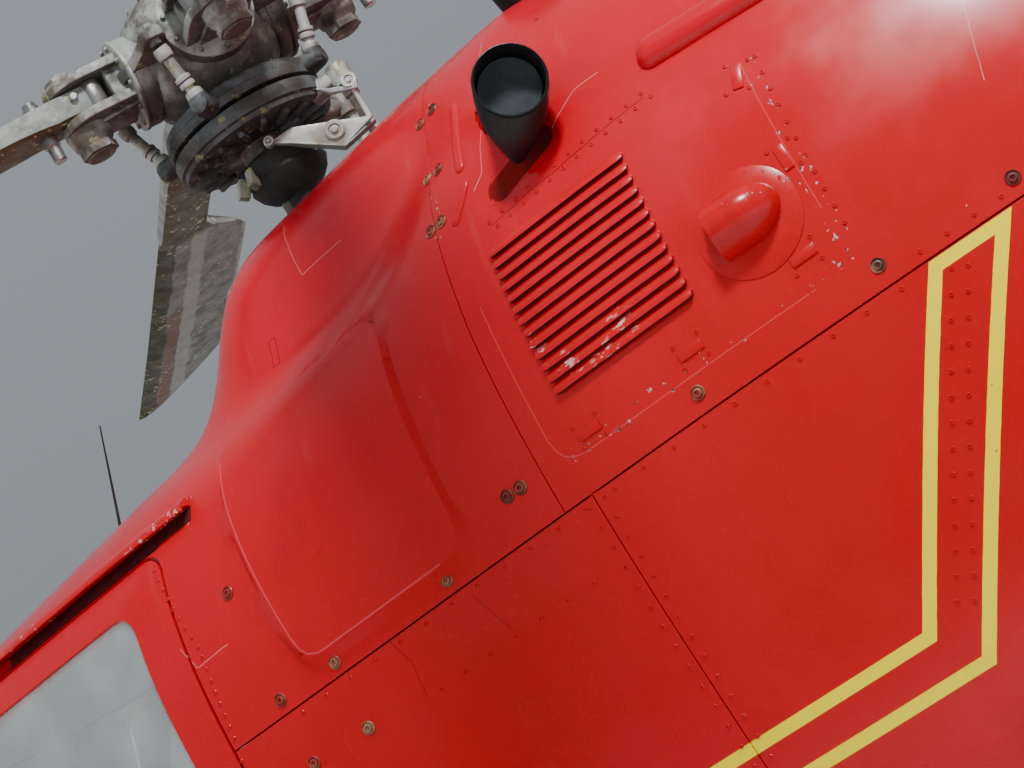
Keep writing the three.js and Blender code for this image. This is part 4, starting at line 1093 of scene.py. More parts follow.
# %% Take the skin apart into panels
def taken_apart(piece, sorter):
    hold(piece, "EDIT")
    mesh = bmesh.from_edit_mesh(piece.data)
    label = mesh.faces.layers.int.new("part")
    names = ["gap"]
    for face in mesh.faces:
        part = sorter(*middle(face))
        if part not in names:
            names.append(part)
        face[label] = names.index(part)
    panels = {}
    for i, name in enumerate(names):
        test = lambda face: face[bmesh.from_edit_mesh(piece.data).faces.layers.int["part"]] == i
        if not pick(piece, "faces", test):
            continue
        if name == "gap":
            bpy.ops.mesh.delete(type="FACE")
            continue
        before = set(bpy.data.objects)
        bpy.ops.mesh.separate(type="SELECTED")
        hold(piece)
        (panels[name],) = set(bpy.data.objects) - before
    bpy.data.objects.remove(piece)
    for panel in panels.values():
        for layer in ("part", "skin"):
            panel.data.attributes.remove(panel.data.attributes[layer])
    return panels


PANELS = taken_apart(skin, part_of)
print(len(PANELS), "panels:", ", ".join(f"{name} {len(panel.data.polygons)}"
                                        for name, panel in PANELS.items()))

# %% [markdown]
# Stamped panels are pressed out a few millimetres with a soft edge, which stiffens thin sheet. The
# outline of a hatch is a narrow strip of faces that is extruded inwards, so that it reads as a fine
# groove. Below each outboard pipe the cowling has a capsule-shaped dish with a sharp edge, pressed the
# other way.

# %% Press panels and sink grooves
DARK_INDEX, SCORCHED_SHADED_INDEX = 2, 3


def inside_of(piece, outline, hole=None):
    def test(face):
        x, y, z = middle(face)
        return abs(x) > LEAST_X and within(outline, y, z) and not (hole and within(hole, y, z))
    return pick(piece, "faces", test)


def pressed(piece, outline, height, edge=BEAD):
    if inside_of(piece, grown(outline, -edge)):
        bpy.ops.transform.shrink_fatten(value=height)


def refinished(piece, index=DARK_INDEX):
    """Give the faces that are selected another of the piece's finishes."""
    hold(piece)
    for face in piece.data.polygons:
        if face.select:
            face.material_index = index


def grooved(piece, outline, depth=0.003, hole=None):
    if inside_of(piece, outline, hole):
        bpy.ops.mesh.extrude_region_shrink_fatten(TRANSFORM_OT_shrink_fatten={"value": -depth})
        refinished(piece)


PRESS_HEIGHT, DISH_DEPTH = 0.009, 0.005
pressed(PANELS["transmission_fairing"], STAMPED_PANEL, PRESS_HEIGHT)
# Soot and painted shade: the dish's faces take the dark red-brown finish.
inside_of(PANELS["engine_cowling"], DISH)
refinished(PANELS["engine_cowling"], SCORCHED_SHADED_INDEX)
pressed(PANELS["engine_cowling"], DISH, -DISH_DEPTH, DISH_EDGE)
for name, outline in (("transmission_fairing", CORNER_PATCH), ("engine_cowling", ENGINE_HATCH),
                      ("pod_shell", SMALL_HATCH)):
    grooved(PANELS[name], outline, hole=grown(outline, -GROOVE))
grooved(PANELS["pod_shell"], SIDE_SHEET)
print("panels pressed, grooves sunk")

# %% [markdown]
# Real sheet has an edge. Solidify gives each panel a wall that grows inwards, so the outer skin stays
# exactly where it was drawn. The inner faces take a second finish, the pale grey of the cabin. Window
# panes are moved in a little first, as if seated in a rebate.

# %% Walls for the panels
WALLS = {"pod_shell": 0.024, "windscreen_frame": 0.02, "cabin_roof": 0.022, "engine_cowling": 0.012,
         "transmission_fairing": 0.012, "door": 0.024, "pane": 0.005}
REBATE = 0.004


def panel_body(name):
    for side, _ in SIDES:
        if name in (f"door_front_{side}", f"door_front_glass_{side}"):
            return "front_door_" + side
        if name == "rear_door_" + side:
            return name
    return "airframe"


for name, panel in PANELS.items():
    pane = "glass" in name or "windscreen_" in name and "frame" not in name or "chin" in name
    if pane:
        whole(panel)
        bpy.ops.transform.shrink_fatten(value=-REBATE)
        modify(panel, "SOLIDIFY", thickness=WALLS["pane"], offset=-1)
        finish(panel, name + "_pane", "clear_glass", GLASS, body=panel_body(name), stands_for=[name])
        continue
    striped = "door" in name or name == "pod_shell"
    dressed(panel, RED_STRIPED if striped else RED, CABIN_GREY, JOINT_AND_SHADE_DARK, SCORCHED_AND_SHADED)
    modify(panel, "SOLIDIFY", thickness=WALLS.get(name, WALLS["door"]), offset=-1, material_offset=1)
    finish(panel, name + "_skin", "red_paint", body=panel_body(name), stands_for=[name])

# %% [markdown]
# ## Small things on the skin
# Louvres, rivets and fasteners sit on a curved side. It is easiest to draw each one flat, as (aft, up,
# out), and then to bend it: every corner looks for the skin right below it and is set that far out along
# the skin's normal. Small round things only need to be stood on the skin, square to it. All of them are
# made for the port side and mirrored.

# %% Laying pieces on the skin
def laid(piece, y=0.0, z=0.0):
    """Bend a piece that is drawn flat as (aft, up, out) onto the port side."""
    for vert in piece.data.vertices:
        along, up, out = vert.co
        spot, normal = on_side(y + along, z + up)
        vert.co = spot + normal * out
    return piece


def skin_frame(y, z, turn=0.0):
    """The matrix that stands a small piece on the port side: its X aft, its Y up, its Z outwards."""
    spot, out = on_side(y, z)
    up = (Vector((0, 0, 1)) - out * out.z).normalized()
    axes = Matrix((up.cross(out), up, out)).transposed().to_4x4()
    return Matrix.Translation(spot) @ axes @ Matrix.Rotation(turn, 4, "Z")


def strewn(pattern, frames):
    """Copies of one small piece, each with its own mesh, set into frames and joined."""
    copies = []
    for frame_matrix in frames:
        twin = pattern.copy()
        twin.data = pattern.data.copy()
        twin.data.transform(frame_matrix)
        bpy.context.collection.objects.link(twin)
        copies.append(twin)
    bpy.data.objects.remove(pattern)
    return joined(*copies)


def on_both_sides(piece, name, *settings, body="airframe", stands_for=(), **named):
    """Finish a piece that is made for the port side, and its mirrored twin."""
    for half, side in ((piece, "port"), (copied(piece, MIRROR), "starboard")):
        finish(half, f"{name}_{side}", *settings, body=body.format(side),
               stands_for=[node.format(side) for node in stands_for], **named)


def coloured(piece, index, test):
    """Give the faces that pass the test another finish."""
    pick(piece, "faces", test)
    refinished(piece, index)
    return piece


print("laying helpers ready")

# %% [markdown]
# The louvres let air out of the engine bay. Each is pressed out of the sheet: it leaves the skin at its
# top, swells to a lip and ends in a slot, and both its ends run out to a point. The underside of the lip
# and the floor of the slot are painted dark red as painted shade. One slat is lofted along the body from
# its section, and copied up the panel.

# %% Louvres
LOUVRE_Y, LOUVRE_Z = (0.606, 0.884), (1.700, 1.9544)
LOUVRE_COUNT, LOUVRE_STEPS = 13, 16
PITCH = (LOUVRE_Z[1] - LOUVRE_Z[0]) / (LOUVRE_COUNT - 1)
SLAT = ((0.95 * PITCH, -0.001), (0.70 * PITCH, 0.0048), (0.42 * PITCH, 0.0082), (0.18 * PITCH, 0.0096),
        (0, 0.0090), (0.0008, 0.0076), (0.26 * PITCH, 0.0014), (-0.04 * PITCH, 0.0012),
        (-0.04 * PITCH, -0.003), (0.95 * PITCH, -0.003))
SLAT_MIDDLE = 0.5 * PITCH


def slat():
    rings = []
    for i in range(LOUVRE_STEPS + 1):
        t = i / LOUVRE_STEPS
        swell = max(min(1.0, math.sqrt(9 * t * (1 - t))), 0.04)
        y = LOUVRE_Y[0] + (LOUVRE_Y[1] - LOUVRE_Y[0]) * (0.5 - math.cos(t * math.pi) / 2)
        rings.append([(y, SLAT_MIDDLE + (up - SLAT_MIDDLE) * swell, max(out * swell, -0.002))
                      for up, out in SLAT])
    return loft(rings)


slats = []
for i in range(LOUVRE_COUNT):
    one = dressed(slat(), RED_WORN, LOUVRE_SHADE)
    # Painted shade: the lip's underside and the slot floor take the dark red.
    coloured(one, 1, lambda face: face.normal.y < -0.5 or (face.normal.z > 0.9 and
                                                         face.calc_center_median().z < 0.002))
    slats.append(laid(one, z=LOUVRE_Z[0] + PITCH * i))
on_both_sides(joined(*slats), "louvres", "red_paint", angle=40)

# %% [markdown]
# A hooded intake sits behind the louvres. It starts as a sphere, cut in half twice; its open rim is drawn
# out forwards and the shell gets a wall. Its mouth looks forward, and a riveted flange holds it. The
# inside of the shell and a flat disc on the skin in its mouth are near-black: painted shade.

# %% Hooded intake
SCOOP_Y, SCOOP_Z, SCOOP_LONG, SCOOP_WIDE, SCOOP_OUT, SCOOP_NOSE = 1.000, 1.757, 0.068, 0.045, 0.056, 0.046
FLANGE_Y, FLANGE_Z, FLANGE_R = SCOOP_Y + 0.009, 1.746, 0.086


def half_bullet():
    bpy.ops.mesh.primitive_uv_sphere_add(segments=48, ring_count=24, radius=1)
    hood = bpy.context.object
    hood.scale = (SCOOP_LONG, SCOOP_WIDE, SCOOP_OUT)
    settled(hood)
    for cut in ((0, 0, 1), (1, 0, 0)):
        whole(hood)
        bpy.ops.mesh.bisect(plane_co=(0, 0, 0), plane_no=cut, clear_inner=True)
    pick(hood, "edges", lambda edge: edge.is_boundary and all(abs(vert.co.x) < 1e-4 for vert in edge.verts))
    bpy.ops.mesh.extrude_edges_move(TRANSFORM_OT_translate={"value": (-SCOOP_NOSE, 0, 0)})
    # The inside of the hood shell takes the near-black: painted shade.
    dressed(hood, RED, JOINT_AND_SHADE_DARK)
    return modify(hood, "SOLIDIFY", thickness=0.003, offset=-1, material_offset=1)


hood = half_bullet()
flange = turned([(FLANGE_R, -0.001), (FLANGE_R, 0.0014), (FLANGE_R - 0.0015, 0.0022), (0.04, 0.0022),
                 (0.012, 0.0022)], sides=48)
laid(flange, FLANGE_Y, FLANGE_Z)
# Painted shade: a flat near-black disc laid on the skin in the hood's mouth.
shade = turned([(0.036, 0.0), (0.036, 0.0030)], sides=32)
shade.data.transform(Matrix.Diagonal((1.35, 1, 1, 1)))
laid(shade, SCOOP_Y, SCOOP_Z)
laid(hood, SCOOP_Y, SCOOP_Z)
intake = joined(dressed(flange, RED), hood, dressed(shade, JOINT_AND_SHADE_DARK))
on_both_sides(intake, "intake_hood", "red_paint")

# %% [markdown]
# Ribs and the long blister are raised beads with round ends. Each is a loft of half-round sections that
# widen from nothing like the end of a capsule.

# %% Ribs and the long blister
BEAD_STEPS, BEAD_ROUND, BEAD_ARC = 12, 7, 10
BEADS = (
    # start, end, width, height
    ((0.602, 2.266), (0.602, 2.129), 0.021, 0.0060),
    ((0.609, 2.109), (0.562, 2.051), 0.019, 0.0055),
    ((0.960, 2.089), (1.310, 2.064), 0.052, 0.0240),
)


def bead(start, end, width, height):
    start, end = Vector(start), Vector(end)
    length, half = (end - start).length, width / 2
    way = (end - start) / length
    across = Vector((-way.y, way.x))
    nose = [half * (1.005 - math.cos(i / BEAD_ROUND * math.pi / 2)) for i in range(BEAD_ROUND)]
    places = nose + [half + (length - width) * i / BEAD_STEPS for i in range(BEAD_STEPS + 1)]
    rings = []
    for place in places + [length - part for part in reversed(nose)]:
        near = min(place, length - place, half)
        wide = math.sqrt(half ** 2 - (half - near) ** 2)
        middle = start + way * place
        ring = [(*(middle + across * wide * c), height * s * wide / half) for c, s in half_circle(BEAD_ARC)]
        rings.append(ring + [(*(middle - across * wide), -0.003), (*(middle + across * wide), -0.003)])
    return laid(loft(rings))


beads = joined(*[bead(*row) for row in BEADS])
on_both_sides(beads, "beads", "red_paint", RED)

# %% [markdown]
# The roof ends in a lip over the sliding door, like the gutter of a car, with a track behind it that is
# near-black as painted shade under the lip. Its section is drawn once and lofted along the roof; at the
# rear it stops in a blunt, chipped cut.

# %% Roof lips
LIP_Z = 1.955
LIP_ROWS = ((-1.088, 0.30), (-1.05, 0.62), (-0.95, 0.90), (-0.70, 1.0), (-0.45, 1.0), (-0.28, 1.0),
            (-0.19, 0.98), (-0.178, 0.92))
LIP = ((0.024, -0.002), (0.018, 0.010), (0.010, 0.020), (0.0, 0.0275), (-0.008, 0.0285), (-0.012, 0.026),
       (-0.012, 0.023), (-0.004, 0.021), (0.004, 0.010), (0.006, -0.002))
TRACK = ((0.008, -0.003), (0.008, 0.0016), (-0.019, 0.0016), (-0.019, -0.003))


def along_roof(section_points, rows):
    return laid(loft([[(y, up, out * share) for up, out in section_points] for y, share in rows]), z=LIP_Z)


lip = along_roof(LIP, LIP_ROWS)
# Painted shade: the track under the lip is near-black.
track = along_roof(TRACK, [(y, 1.0) for y, _ in LIP_ROWS])
lips = joined(dressed(lip, RED_WORN), dressed(track, JOINT_AND_SHADE_DARK))
on_both_sides(lips, "roof_lip", "red_paint", stands_for=["door_rail_{}"])

# %% [markdown]
# Rivets and quarter-turn fasteners are turned pieces of a few dozen faces. A rivet here is a dome with a
# dimple; a fastener is a slotted stud in a ring, brass under worn paint. Rows are given by their two ends
# and a count.

# %% Rivets, fasteners and latches
RIVET_ROWS = (
    # start, end, how many
    ((0.628, 2.014), (0.948, 2.034), 12), ((0.640, 1.999), (0.960, 2.019), 12),
    ((-0.285, 1.90), (-0.238, 1.73), 9), ((-0.238, 1.71), (-0.252, 1.56), 8),
    ((-0.262, 1.52), (-0.262, 0.66), 26), ((0.560, 1.525), (0.560, 0.62), 26),
    ((0.592, 1.525), (0.592, 0.62), 26),
    ((1.246, 1.500), (0.990, 1.088), 14), ((1.224, 1.510), (0.968, 1.100), 14),
    ((1.130, 1.66), (1.130, 1.97), 11), ((1.20, 1.558), (2.06, 1.558), 20),
    ((1.99, 1.62), (1.99, 1.90), 9), ((2.03, 1.62), (2.03, 1.90), 9),
    ((-0.10, 1.527), (1.15, 1.527), 22), ((0.82, 2.335), (0.80, 2.30), 2),
    ((-1.02, 0.60), (-0.30, 0.60), 16),
    ((-1.50, 1.60), (-1.54, 1.20), 1), ((0.16, 1.425), (0.50, 1.425), 7),
)
SCOOP_RIVETS, SCOOP_RIVET_R = 16, 0.077
FASTENERS = ((1.139, 1.576), (1.363, 1.571), (0.811, 1.573), (0.474, 1.616), (0.446, 1.617),
             (0.273, 1.565), (0.006, 1.564), (-0.128, 1.566), (-0.001, 1.441), (-0.131, 1.445),
             (-0.134, 1.775), (0.544, 2.297), (0.510, 2.290), (0.549, 2.170), (0.516, 2.173),
             (0.537, 2.076), (0.509, 2.075), (1.62, 1.568), (1.87, 1.568),)
LATCHES = ((1.092, 1.958, 70), (1.054, 1.654, 0), (0.835, 1.634, 0), (0.626, 1.625, 0), (1.10, 1.80, 90))
LATCH_HALF, LATCH_RIVET = (0.0225, 0.009), 0.019
RIVET = [(0.0040, -0.001), (0.0040, 0.0011), (0.0031, 0.0022), (0.0018, 0.0023), (0.0011, 0.0009)]
STUD = [(0.0125, -0.001), (0.0125, 0.0014), (0.0112, 0.0028), (0.0100, 0.0009), (0.0080, 0.0009),
        (0.0070, 0.0036), (0.0042, 0.0044), (0.0036, 0.0018), (0.0018, 0.0018), (0.0008, 0.0034)]


def spaced(start, end, count):
    steps = max(count - 1, 1)
    return [(start[0] + (end[0] - start[0]) * i / steps, start[1] + (end[1] - start[1]) * i / steps)
            for i in range(count)]


places = [place for row in RIVET_ROWS for place in spaced(*row)]
places += [(FLANGE_Y + SCOOP_RIVET_R * cos, FLANGE_Z + SCOOP_RIVET_R * sin)
           for cos, sin in circle(SCOOP_RIVETS)]
for y, z, turn in LATCHES:
    cos, sin = math.cos(math.radians(turn)), math.sin(math.radians(turn))
    places += [(y + cos * a - sin * b, z + sin * a + cos * b)
               for a in (-LATCH_HALF[0], LATCH_HALF[0]) for b in (-LATCH_RIVET, LATCH_RIVET)]
rivets = strewn(turned(RIVET, sides=10), [skin_frame(*place) for place in places])
on_both_sides(rivets, "rivets", "red_paint", RED)
plates = strewn(bevelled(block((-LATCH_HALF[0], -LATCH_HALF[1], -0.002), (*LATCH_HALF, 0.003)), 0.0018),
                [skin_frame(y, z, math.radians(turn)) for y, z, turn in LATCHES])
on_both_sides(plates, "latch_plates", "red_paint", RED_WORN)
studs = strewn(turned(STUD, sides=20), [skin_frame(y, z, y * 40) for y, z in FASTENERS])
on_both_sides(studs, "fasteners", "weathered_metal", BRASS)
print(len(places), "rivets and", len(FASTENERS), "fasteners a side")

# %% [markdown]
# ## Exhausts
# Each engine has two pipes, one outboard and one up through the top of the cowling. While the aircraft is
# parked a blanking disc sits a little way inside each mouth. The pipe is turned: up the outside, over the
# rolled rim and down the inside.

# %% Exhaust pipes and their blanking discs
DISC_DEPTH = 0.044


def pipe(foot, head):
    length = (head - foot).length
    r = EXHAUST_RADIUS
    profile = [(r - 0.020, 0), (r - 0.016, length - 0.20), (r - 0.012, length - 0.11),
               (r - 0.004, length - 0.045), (r - 0.0005, length - 0.014), (r, length - 0.004),
               (r - 0.001, length), (r - 0.0025, length + 0.0005), (r - 0.004, length - 0.003),
               (r - 0.006, length - 0.03), (r - 0.0085, length - 0.06), (0.01, length - 0.062)]
    return turned(profile, foot, head, 56)


def blanking_disc(foot, head):
    way = (head - foot).normalized()
    seat = head - way * (DISC_DEPTH + 0.01)
    r = EXHAUST_RADIUS - 0.0085
    return turned([(r, 0), (r, 0.008), (r - 0.002, 0.0105), (r - 0.005, 0.0095), (r - 0.009, 0.0082),
                   (0.012, 0.0078), (0.004, 0.0078)], seat, head, 48)


MOUTH = EXHAUST_OUTER[1]
MOUTH_WAY = (MOUTH - EXHAUST_OUTER[0]).normalized()
ELBOW_FOOT = Vector((0.613, aft(0.715), 2.070))
ELBOW = ((0.02, 0.0625), (0.13, 0.0622), (0.24, 0.060), (0.36, 0.056), (0.47, 0.0500), (0.58, 0.0425),
         (0.68, 0.0345), (0.77, 0.0270), (0.85, 0.0200), (0.92, 0.0135), (0.97, 0.008))


def elbow():
    """The bowl-like elbow under the outboard mouth: circles slid towards the dish."""
    level = MOUTH_WAY.cross(Vector((0, 0, 1))).normalized()
    high = level.cross(MOUTH_WAY)
    return loft([[MOUTH + (ELBOW_FOOT - MOUTH) * t + (level * c + high * s) * radius for c, s in circle(48)]
                 for t, radius in ELBOW])


# the mouth stays open: what the elbow has in front of the blanking disc is cut away
outboard = elbow()
whole(outboard)
bpy.ops.mesh.bisect(plane_co=MOUTH - MOUTH_WAY * 0.0015, plane_no=MOUTH_WAY, clear_outer=True)
hold(outboard)
bore = rod(MOUTH - MOUTH_WAY * 0.056, MOUTH + MOUTH_WAY * 0.02, EXHAUST_RADIUS - 0.0045, sides=48)
modify(outboard, "BOOLEAN", object=bore, operation="DIFFERENCE", solver="EXACT")
bpy.data.objects.remove(bore)
on_both_sides(outboard, "exhaust_elbow", "burnt_steel", SOOT)

for side, sign in SIDES:
    for place, (foot, head) in (("outer", EXHAUST_OUTER), ("inner", EXHAUST_INNER)):
        flip = Matrix.Identity(4) if sign > 0 else MIRROR
        start, end = flip @ foot, flip @ head
        node = f"exhaust_{place}_{side}"
        finish(pipe(start, end), node + "_pipe", "burnt_steel", SOOT, stands_for=[node])
        finish(blanking_disc(start, end), node + "_disc", "burnt_steel", SOOT_INSIDE)

# %% [markdown]
# ## Tail
# The boom is a long tapering tube of riveted sheet. It is lofted from rings, with a thin band round each
# place where two sheets overlap. A half-round cover runs along its back over the drive shaft.

# %% Boom and drive shaft cover
BOOM = ((2.101, 0.283, 1.750), (2.6, 0.264, 1.7635), (3.3, 0.235, 1.782), (4.5, 0.190, 1.812),
        (5.42, 0.155, 1.835), (5.56, 0.138, 1.841), (5.64, 0.119, 1.845), (5.69, 0.090, 1.848),
        (5.715, 0.055, 1.850))
BAND_PLACES = (2.135, 2.75, 3.3, 3.9, 4.5, 5.02)
BAND_HALF, BAND_PROUD = 0.02, 0.0022


def ring_at(y, radius, z, sides=56):
    return [(radius * cos, aft(y), z + radius * sin) for cos, sin in circle(sides)]


def boom_at(y):
    for (y0, r0, z0), (y1, r1, z1) in zip(BOOM, BOOM[1:]):
        if y0 <= y <= y1:
            t = (y - y0) / (y1 - y0)
            return r0 + (r1 - r0) * t, z0 + (z1 - z0) * t


def boom_band(y):
    rings = []
    for place, proud in ((y - BAND_HALF, -0.004), (y - BAND_HALF, BAND_PROUD), (y + BAND_HALF, BAND_PROUD),
                         (y + BAND_HALF, -0.004)):
        radius, z = boom_at(place)
        rings.append(ring_at(place, radius + proud, z))
    return loft(rings)


boom = loft([ring_at(*row) for row in BOOM])
bands = [boom_band(y) for y in BAND_PLACES]
finish(joined(boom, *bands), "boom_tube", "red_paint", RED, stands_for=["tail_boom"])

COVER = ((2.14, 2.025), (2.20, 2.026), (3.3, 2.010), (4.5, 1.995), (5.02, 1.988), (5.065, 1.986))
COVER_HALF, COVER_HEIGHT = 0.060, 0.072


def cover_section(y, z, share=1.0, sides=24):
    half, high, foot = COVER_HALF * share, COVER_HEIGHT * share, z - 0.03
    arch = [(half * math.copysign(abs(c) ** 0.8, c), aft(y), z + high * abs(s) ** 0.8)
            for c, s in half_circle(sides)]
    return arch + [(-half, aft(y), foot), (half, aft(y), foot)]


def cover_strap(place, width=0.022):
    rings = [cover_section(y, 2.026 - (place - 2.2) * 0.0135) for y in (place, place + width)]
    return loft([[(x * 1.04, y, z + 0.002) for x, y, z in ring] for ring in rings])


cover = loft([cover_section(*COVER[0], 0.55)] + [cover_section(*row) for row in COVER[1:-1]]
             + [cover_section(*COVER[-1], 0.7)])
straps = [cover_strap(place) for place in (2.5, 2.95, 3.4, 3.85, 4.3, 4.75)]
finish(joined(cover, *straps), "drive_cover", "red_paint", RED, stands_for=["tail_drive_cover"])

# %% [markdown]
# Fin, tailplane and end plates have the section of a wing: round in front, fullest a third of the way
# back and thin behind. One function gives that section, and each surface is a loft of it.

# %% Fin, tailplane and end plates
def wing_half(t):
    return 1.48 * math.sqrt(t) - 0.63 * t - 1.76 * t**2 + 1.42 * t**3 - 0.51 * t**4


def eased(steps):
    """Steps from 0 to 1 that are closer together at both ends."""
    return [(1 - math.cos(i / steps * math.pi)) / 2 for i in range(steps + 1)]


def wing_section(lead, trail, thick, steps=16, least=0.0012):
    """Points (along the chord, across it) of a wing section, once round."""
    upper = [(lead + (trail - lead) * t, max(thick * wing_half(t), least)) for t in eased(steps)]
    return upper + [(a, -b) for a, b in reversed(upper)]


FIN = ((1.765, 5.300, 5.762, 0.070), (1.87, 5.190, 5.830, 0.078), (1.98, 5.082, 5.897, 0.080),
       (2.40, 5.412, 5.992, 0.078), (2.85, 5.768, 6.090, 0.074), (2.93, 5.838, 6.078, 0.058),
       (2.958, 5.872, 6.055, 0.030))
fin = loft([[(across, aft(y), z) for y, across in wing_section(lead, trail, thick)]
            for z, lead, trail, thick in FIN])
finish(fin, "fin", "red_paint", RED, stands_for=["tail_fin"])

GEARBOX = Vector((0, aft(5.99), 2.85))
tail_gearbox = turned([(0.02, -0.075), (0.05, -0.07), (0.072, -0.05), (0.083, -0.02), (0.083, 0.03),
                       (0.074, 0.034), (0.074, 0.075), (0.062, 0.082), (0.055, 0.125), (0.060, 0.128),
                       (0.060, 0.146), (0.02, 0.147)], GEARBOX, GEARBOX + Vector((1, 0, 0)), 40)
finish(tail_gearbox, "tail_gearbox", "weathered_metal", CASTING)

STAB_HALF = 1.248
stab = loft([[(x, aft(y), 1.818 + across) for y, across in wing_section(4.792, 5.148, 0.046)]
             for x in (-STAB_HALF, -0.6, 0, 0.6, STAB_HALF)])
finish(stab, "tailplane", "red_paint", RED, stands_for=["stabiliser"])
END_PLATE = ((1.562, 4.722, 5.228), (1.80, 4.7585, 5.158), (2.03, 4.792, 5.094), (2.078, 4.802, 5.080))
for side, sign in SIDES:
    plate = loft([[(sign * 1.2632 + across * sign, aft(y), z)
                   for y, across in wing_section(lead, trail, 0.024)] for z, lead, trail in END_PLATE])
    finish(plate, "tailplane_end_" + side, "red_paint", RED, stands_for=["end_plate_" + side])

tail_guard = tube([(0, aft(5.33), 1.72), (0, aft(5.48), 1.56), (0, aft(5.64), 1.34), (0, aft(5.76), 1.23),
                   (0, aft(5.85), 1.215)], 0.0215)
finish(tail_guard, "tail_guard", "skid_paint", SKID_GREY, stands_for=["tail_skid"])

# %% [markdown]
# ## Tail rotor
# Two short blades on a small hub stand on the port side of the fin. Each blade is a wing section, and a
# grip holds it with two bolts.

# %% Tail rotor
TAIL_PIVOT = PIVOT["tail_rotor_spin"]
TAIL_X = 0.25


def tail_blade():
    sections = ((0.112, 0.020, -0.030, 0.020), (0.20, 0.034, -0.060, 0.018), (0.30, 0.049, -0.129, 0.017),
                (0.93, 0.049, -0.129, 0.015), (0.948, 0.040, -0.120, 0.010))
    blade = loft([[(-across, along, r) for along, across in wing_section(lead, trail, thick)]
                  for r, lead, trail, thick in sections])
    grip = bevelled(block((-0.022, -0.026, 0.02), (0.022, 0.026, 0.155)), 0.006)
    bolts = [turned([(0.010, -0.028), (0.010, 0.028), (0.006, 0.029)], (0, y, z), (1, y, z), 6)
             for y, z in ((0.008, 0.125), (-0.008, 0.14))]
    return joined(blade, grip, *bolts)


first = tail_blade()
second = copied(first, Matrix.Rotation(math.pi, 4, "X"))
tail_hub = turned([(0.02, -0.094), (0.030, -0.09), (0.030, -0.045), (0.040, -0.04), (0.040, 0.025),
                   (0.030, 0.034), (0.012, 0.044)], (0, 0, 0), (1, 0, 0), 32)
tail_rotor = joined(first, second, tail_hub)
tail_rotor.data.transform(Matrix.Translation((TAIL_X, TAIL_PIVOT.y, TAIL_PIVOT.z)))
finish(tail_rotor, "tail_rotor_blades", "tail_rotor_paint", CASTING_DARK, body="tail_rotor",
       stands_for=["tail_rotor"])

# %% [markdown]
# ## Landing gear
# Two skid tubes with upturned toes, carried by two springy cross tubes. Each is one smooth curve with a
# round section. Clamps hold the cross tubes under the belly, and sockets sit where they meet the skids.

# %% Skids and cross tubes
SKID_X, SKID_R, CROSS_R = 1.225, 0.042, 0.032
RUNNER = ((-2.075, 0.325), (-2.03, 0.205), (-1.95, 0.112), (-1.86, 0.062), (-1.74, 0.0435), (-1.6, SKID_R),
          (-1.45, SKID_R), (0, SKID_R), (1.145, SKID_R))
CROSS_HALF = ((1.225, 0.125), (1.12, 0.25), (0.96, 0.345), (0.76, 0.395), (0.45, 0.40))
SOCKET = ((0.034, 0), (0.041, 0.004), (0.041, 0.07), (0.034, 0.075))
CLAMP = ((0.034, -0.03), (0.0385, -0.026), (0.0385, 0.026), (0.034, 0.03))
for side, sign in SIDES:
    x = sign * SKID_X
    runner = tube([(x, aft(y), z) for y, z in RUNNER], SKID_R, 24)
    shoes = [bevelled(block((x - 0.035, aft(a), 0.0005), (x + 0.035, aft(b), 0.014)), 0.004)
             for a, b in ((-1.72, -1.1), (-0.6, 0.1), (0.45, 1.1))]
    cuffs = [turned([(SKID_R, -0.07), (SKID_R + 0.006, -0.066), (SKID_R + 0.006, 0.066), (SKID_R, 0.07)],
                    (x, aft(y), SKID_R + 0.006), (x, aft(y) + 1, SKID_R + 0.006), 28)
             for y in (-1.05, 0.62)]
    finish(joined(runner, *shoes, *cuffs), "skid_tube_" + side, "skid_paint", SKID_GREY,
           stands_for=["skid_" + side])
for name, y in (("front", -1.05), ("rear", 0.62)):
    half = [(x, aft(y), z) for x, z in CROSS_HALF]
    bow = tube([*half, (0, aft(y), 0.40), *[(-a, b, c) for a, b, c in reversed(half)]], CROSS_R, 20)
    fittings = []
    for sign in (1, -1):
        fittings.append(turned(SOCKET, (sign * 1.224, aft(y), 0.085), (sign * 1.16, aft(y), 0.21), 24))
        fittings.append(turned(CLAMP, (sign * 0.45, aft(y), 0.40), (sign * 1.45, aft(y), 0.40), 24))
    finish(joined(bow, *fittings), "cross_bow_" + name, "skid_paint", SKID_GREY,
           stands_for=["cross_tube_" + name])

# %% [markdown]
# ## Rotor head
# The head of this rotor is rigid: four stout arms grow out of one forged hub, and each ends in a fork
# that grips its blade with a vertical pin. One arm is made along +X from the hub's middle and copied
# three times. Turned pieces give the sleeve, the collar and the pins, and plates with broken edges give
# the fork.

# %% One arm of the head
PRECONE = math.radians(0.8)
ARM_TURNS = [math.radians(45 + 90 * k) for k in range(4)]
ROOT_HALF, PIN_X = 0.030, 0.290
PLATE_T, PLATE_HALF, PLATE_END = 0.022, 0.072, 0.338
HORN_TIP, COLLAR_BOLT_R = (0.125, 0.195), 0.086
SLEEVE = ((0.05, 0.0), (0.092, 0.02), (0.099, 0.045), (0.100, 0.060), (0.094, 0.066), (0.086, 0.078),
          (0.0835, 0.096), (0.086, 0.118), (0.091, 0.132), (0.091, 0.140))
COLLAR = ((0.086, 0.136), (0.0945, 0.139), (0.096, 0.143), (0.096, 0.163), (0.0935, 0.168), (0.0935, 0.170),
          (0.0985, 0.1705), (0.0985, 0.1765), (0.094, 0.179), (0.05, 0.1795))
FORK_WEB = ((0.172, -0.05), (0.262, -0.034), (0.262, 0.034), (0.172, 0.05))
PIN_TOP = ((0.047, 0.050), (0.045, 0.058), (0.036, 0.060), (0.034, 0.064))
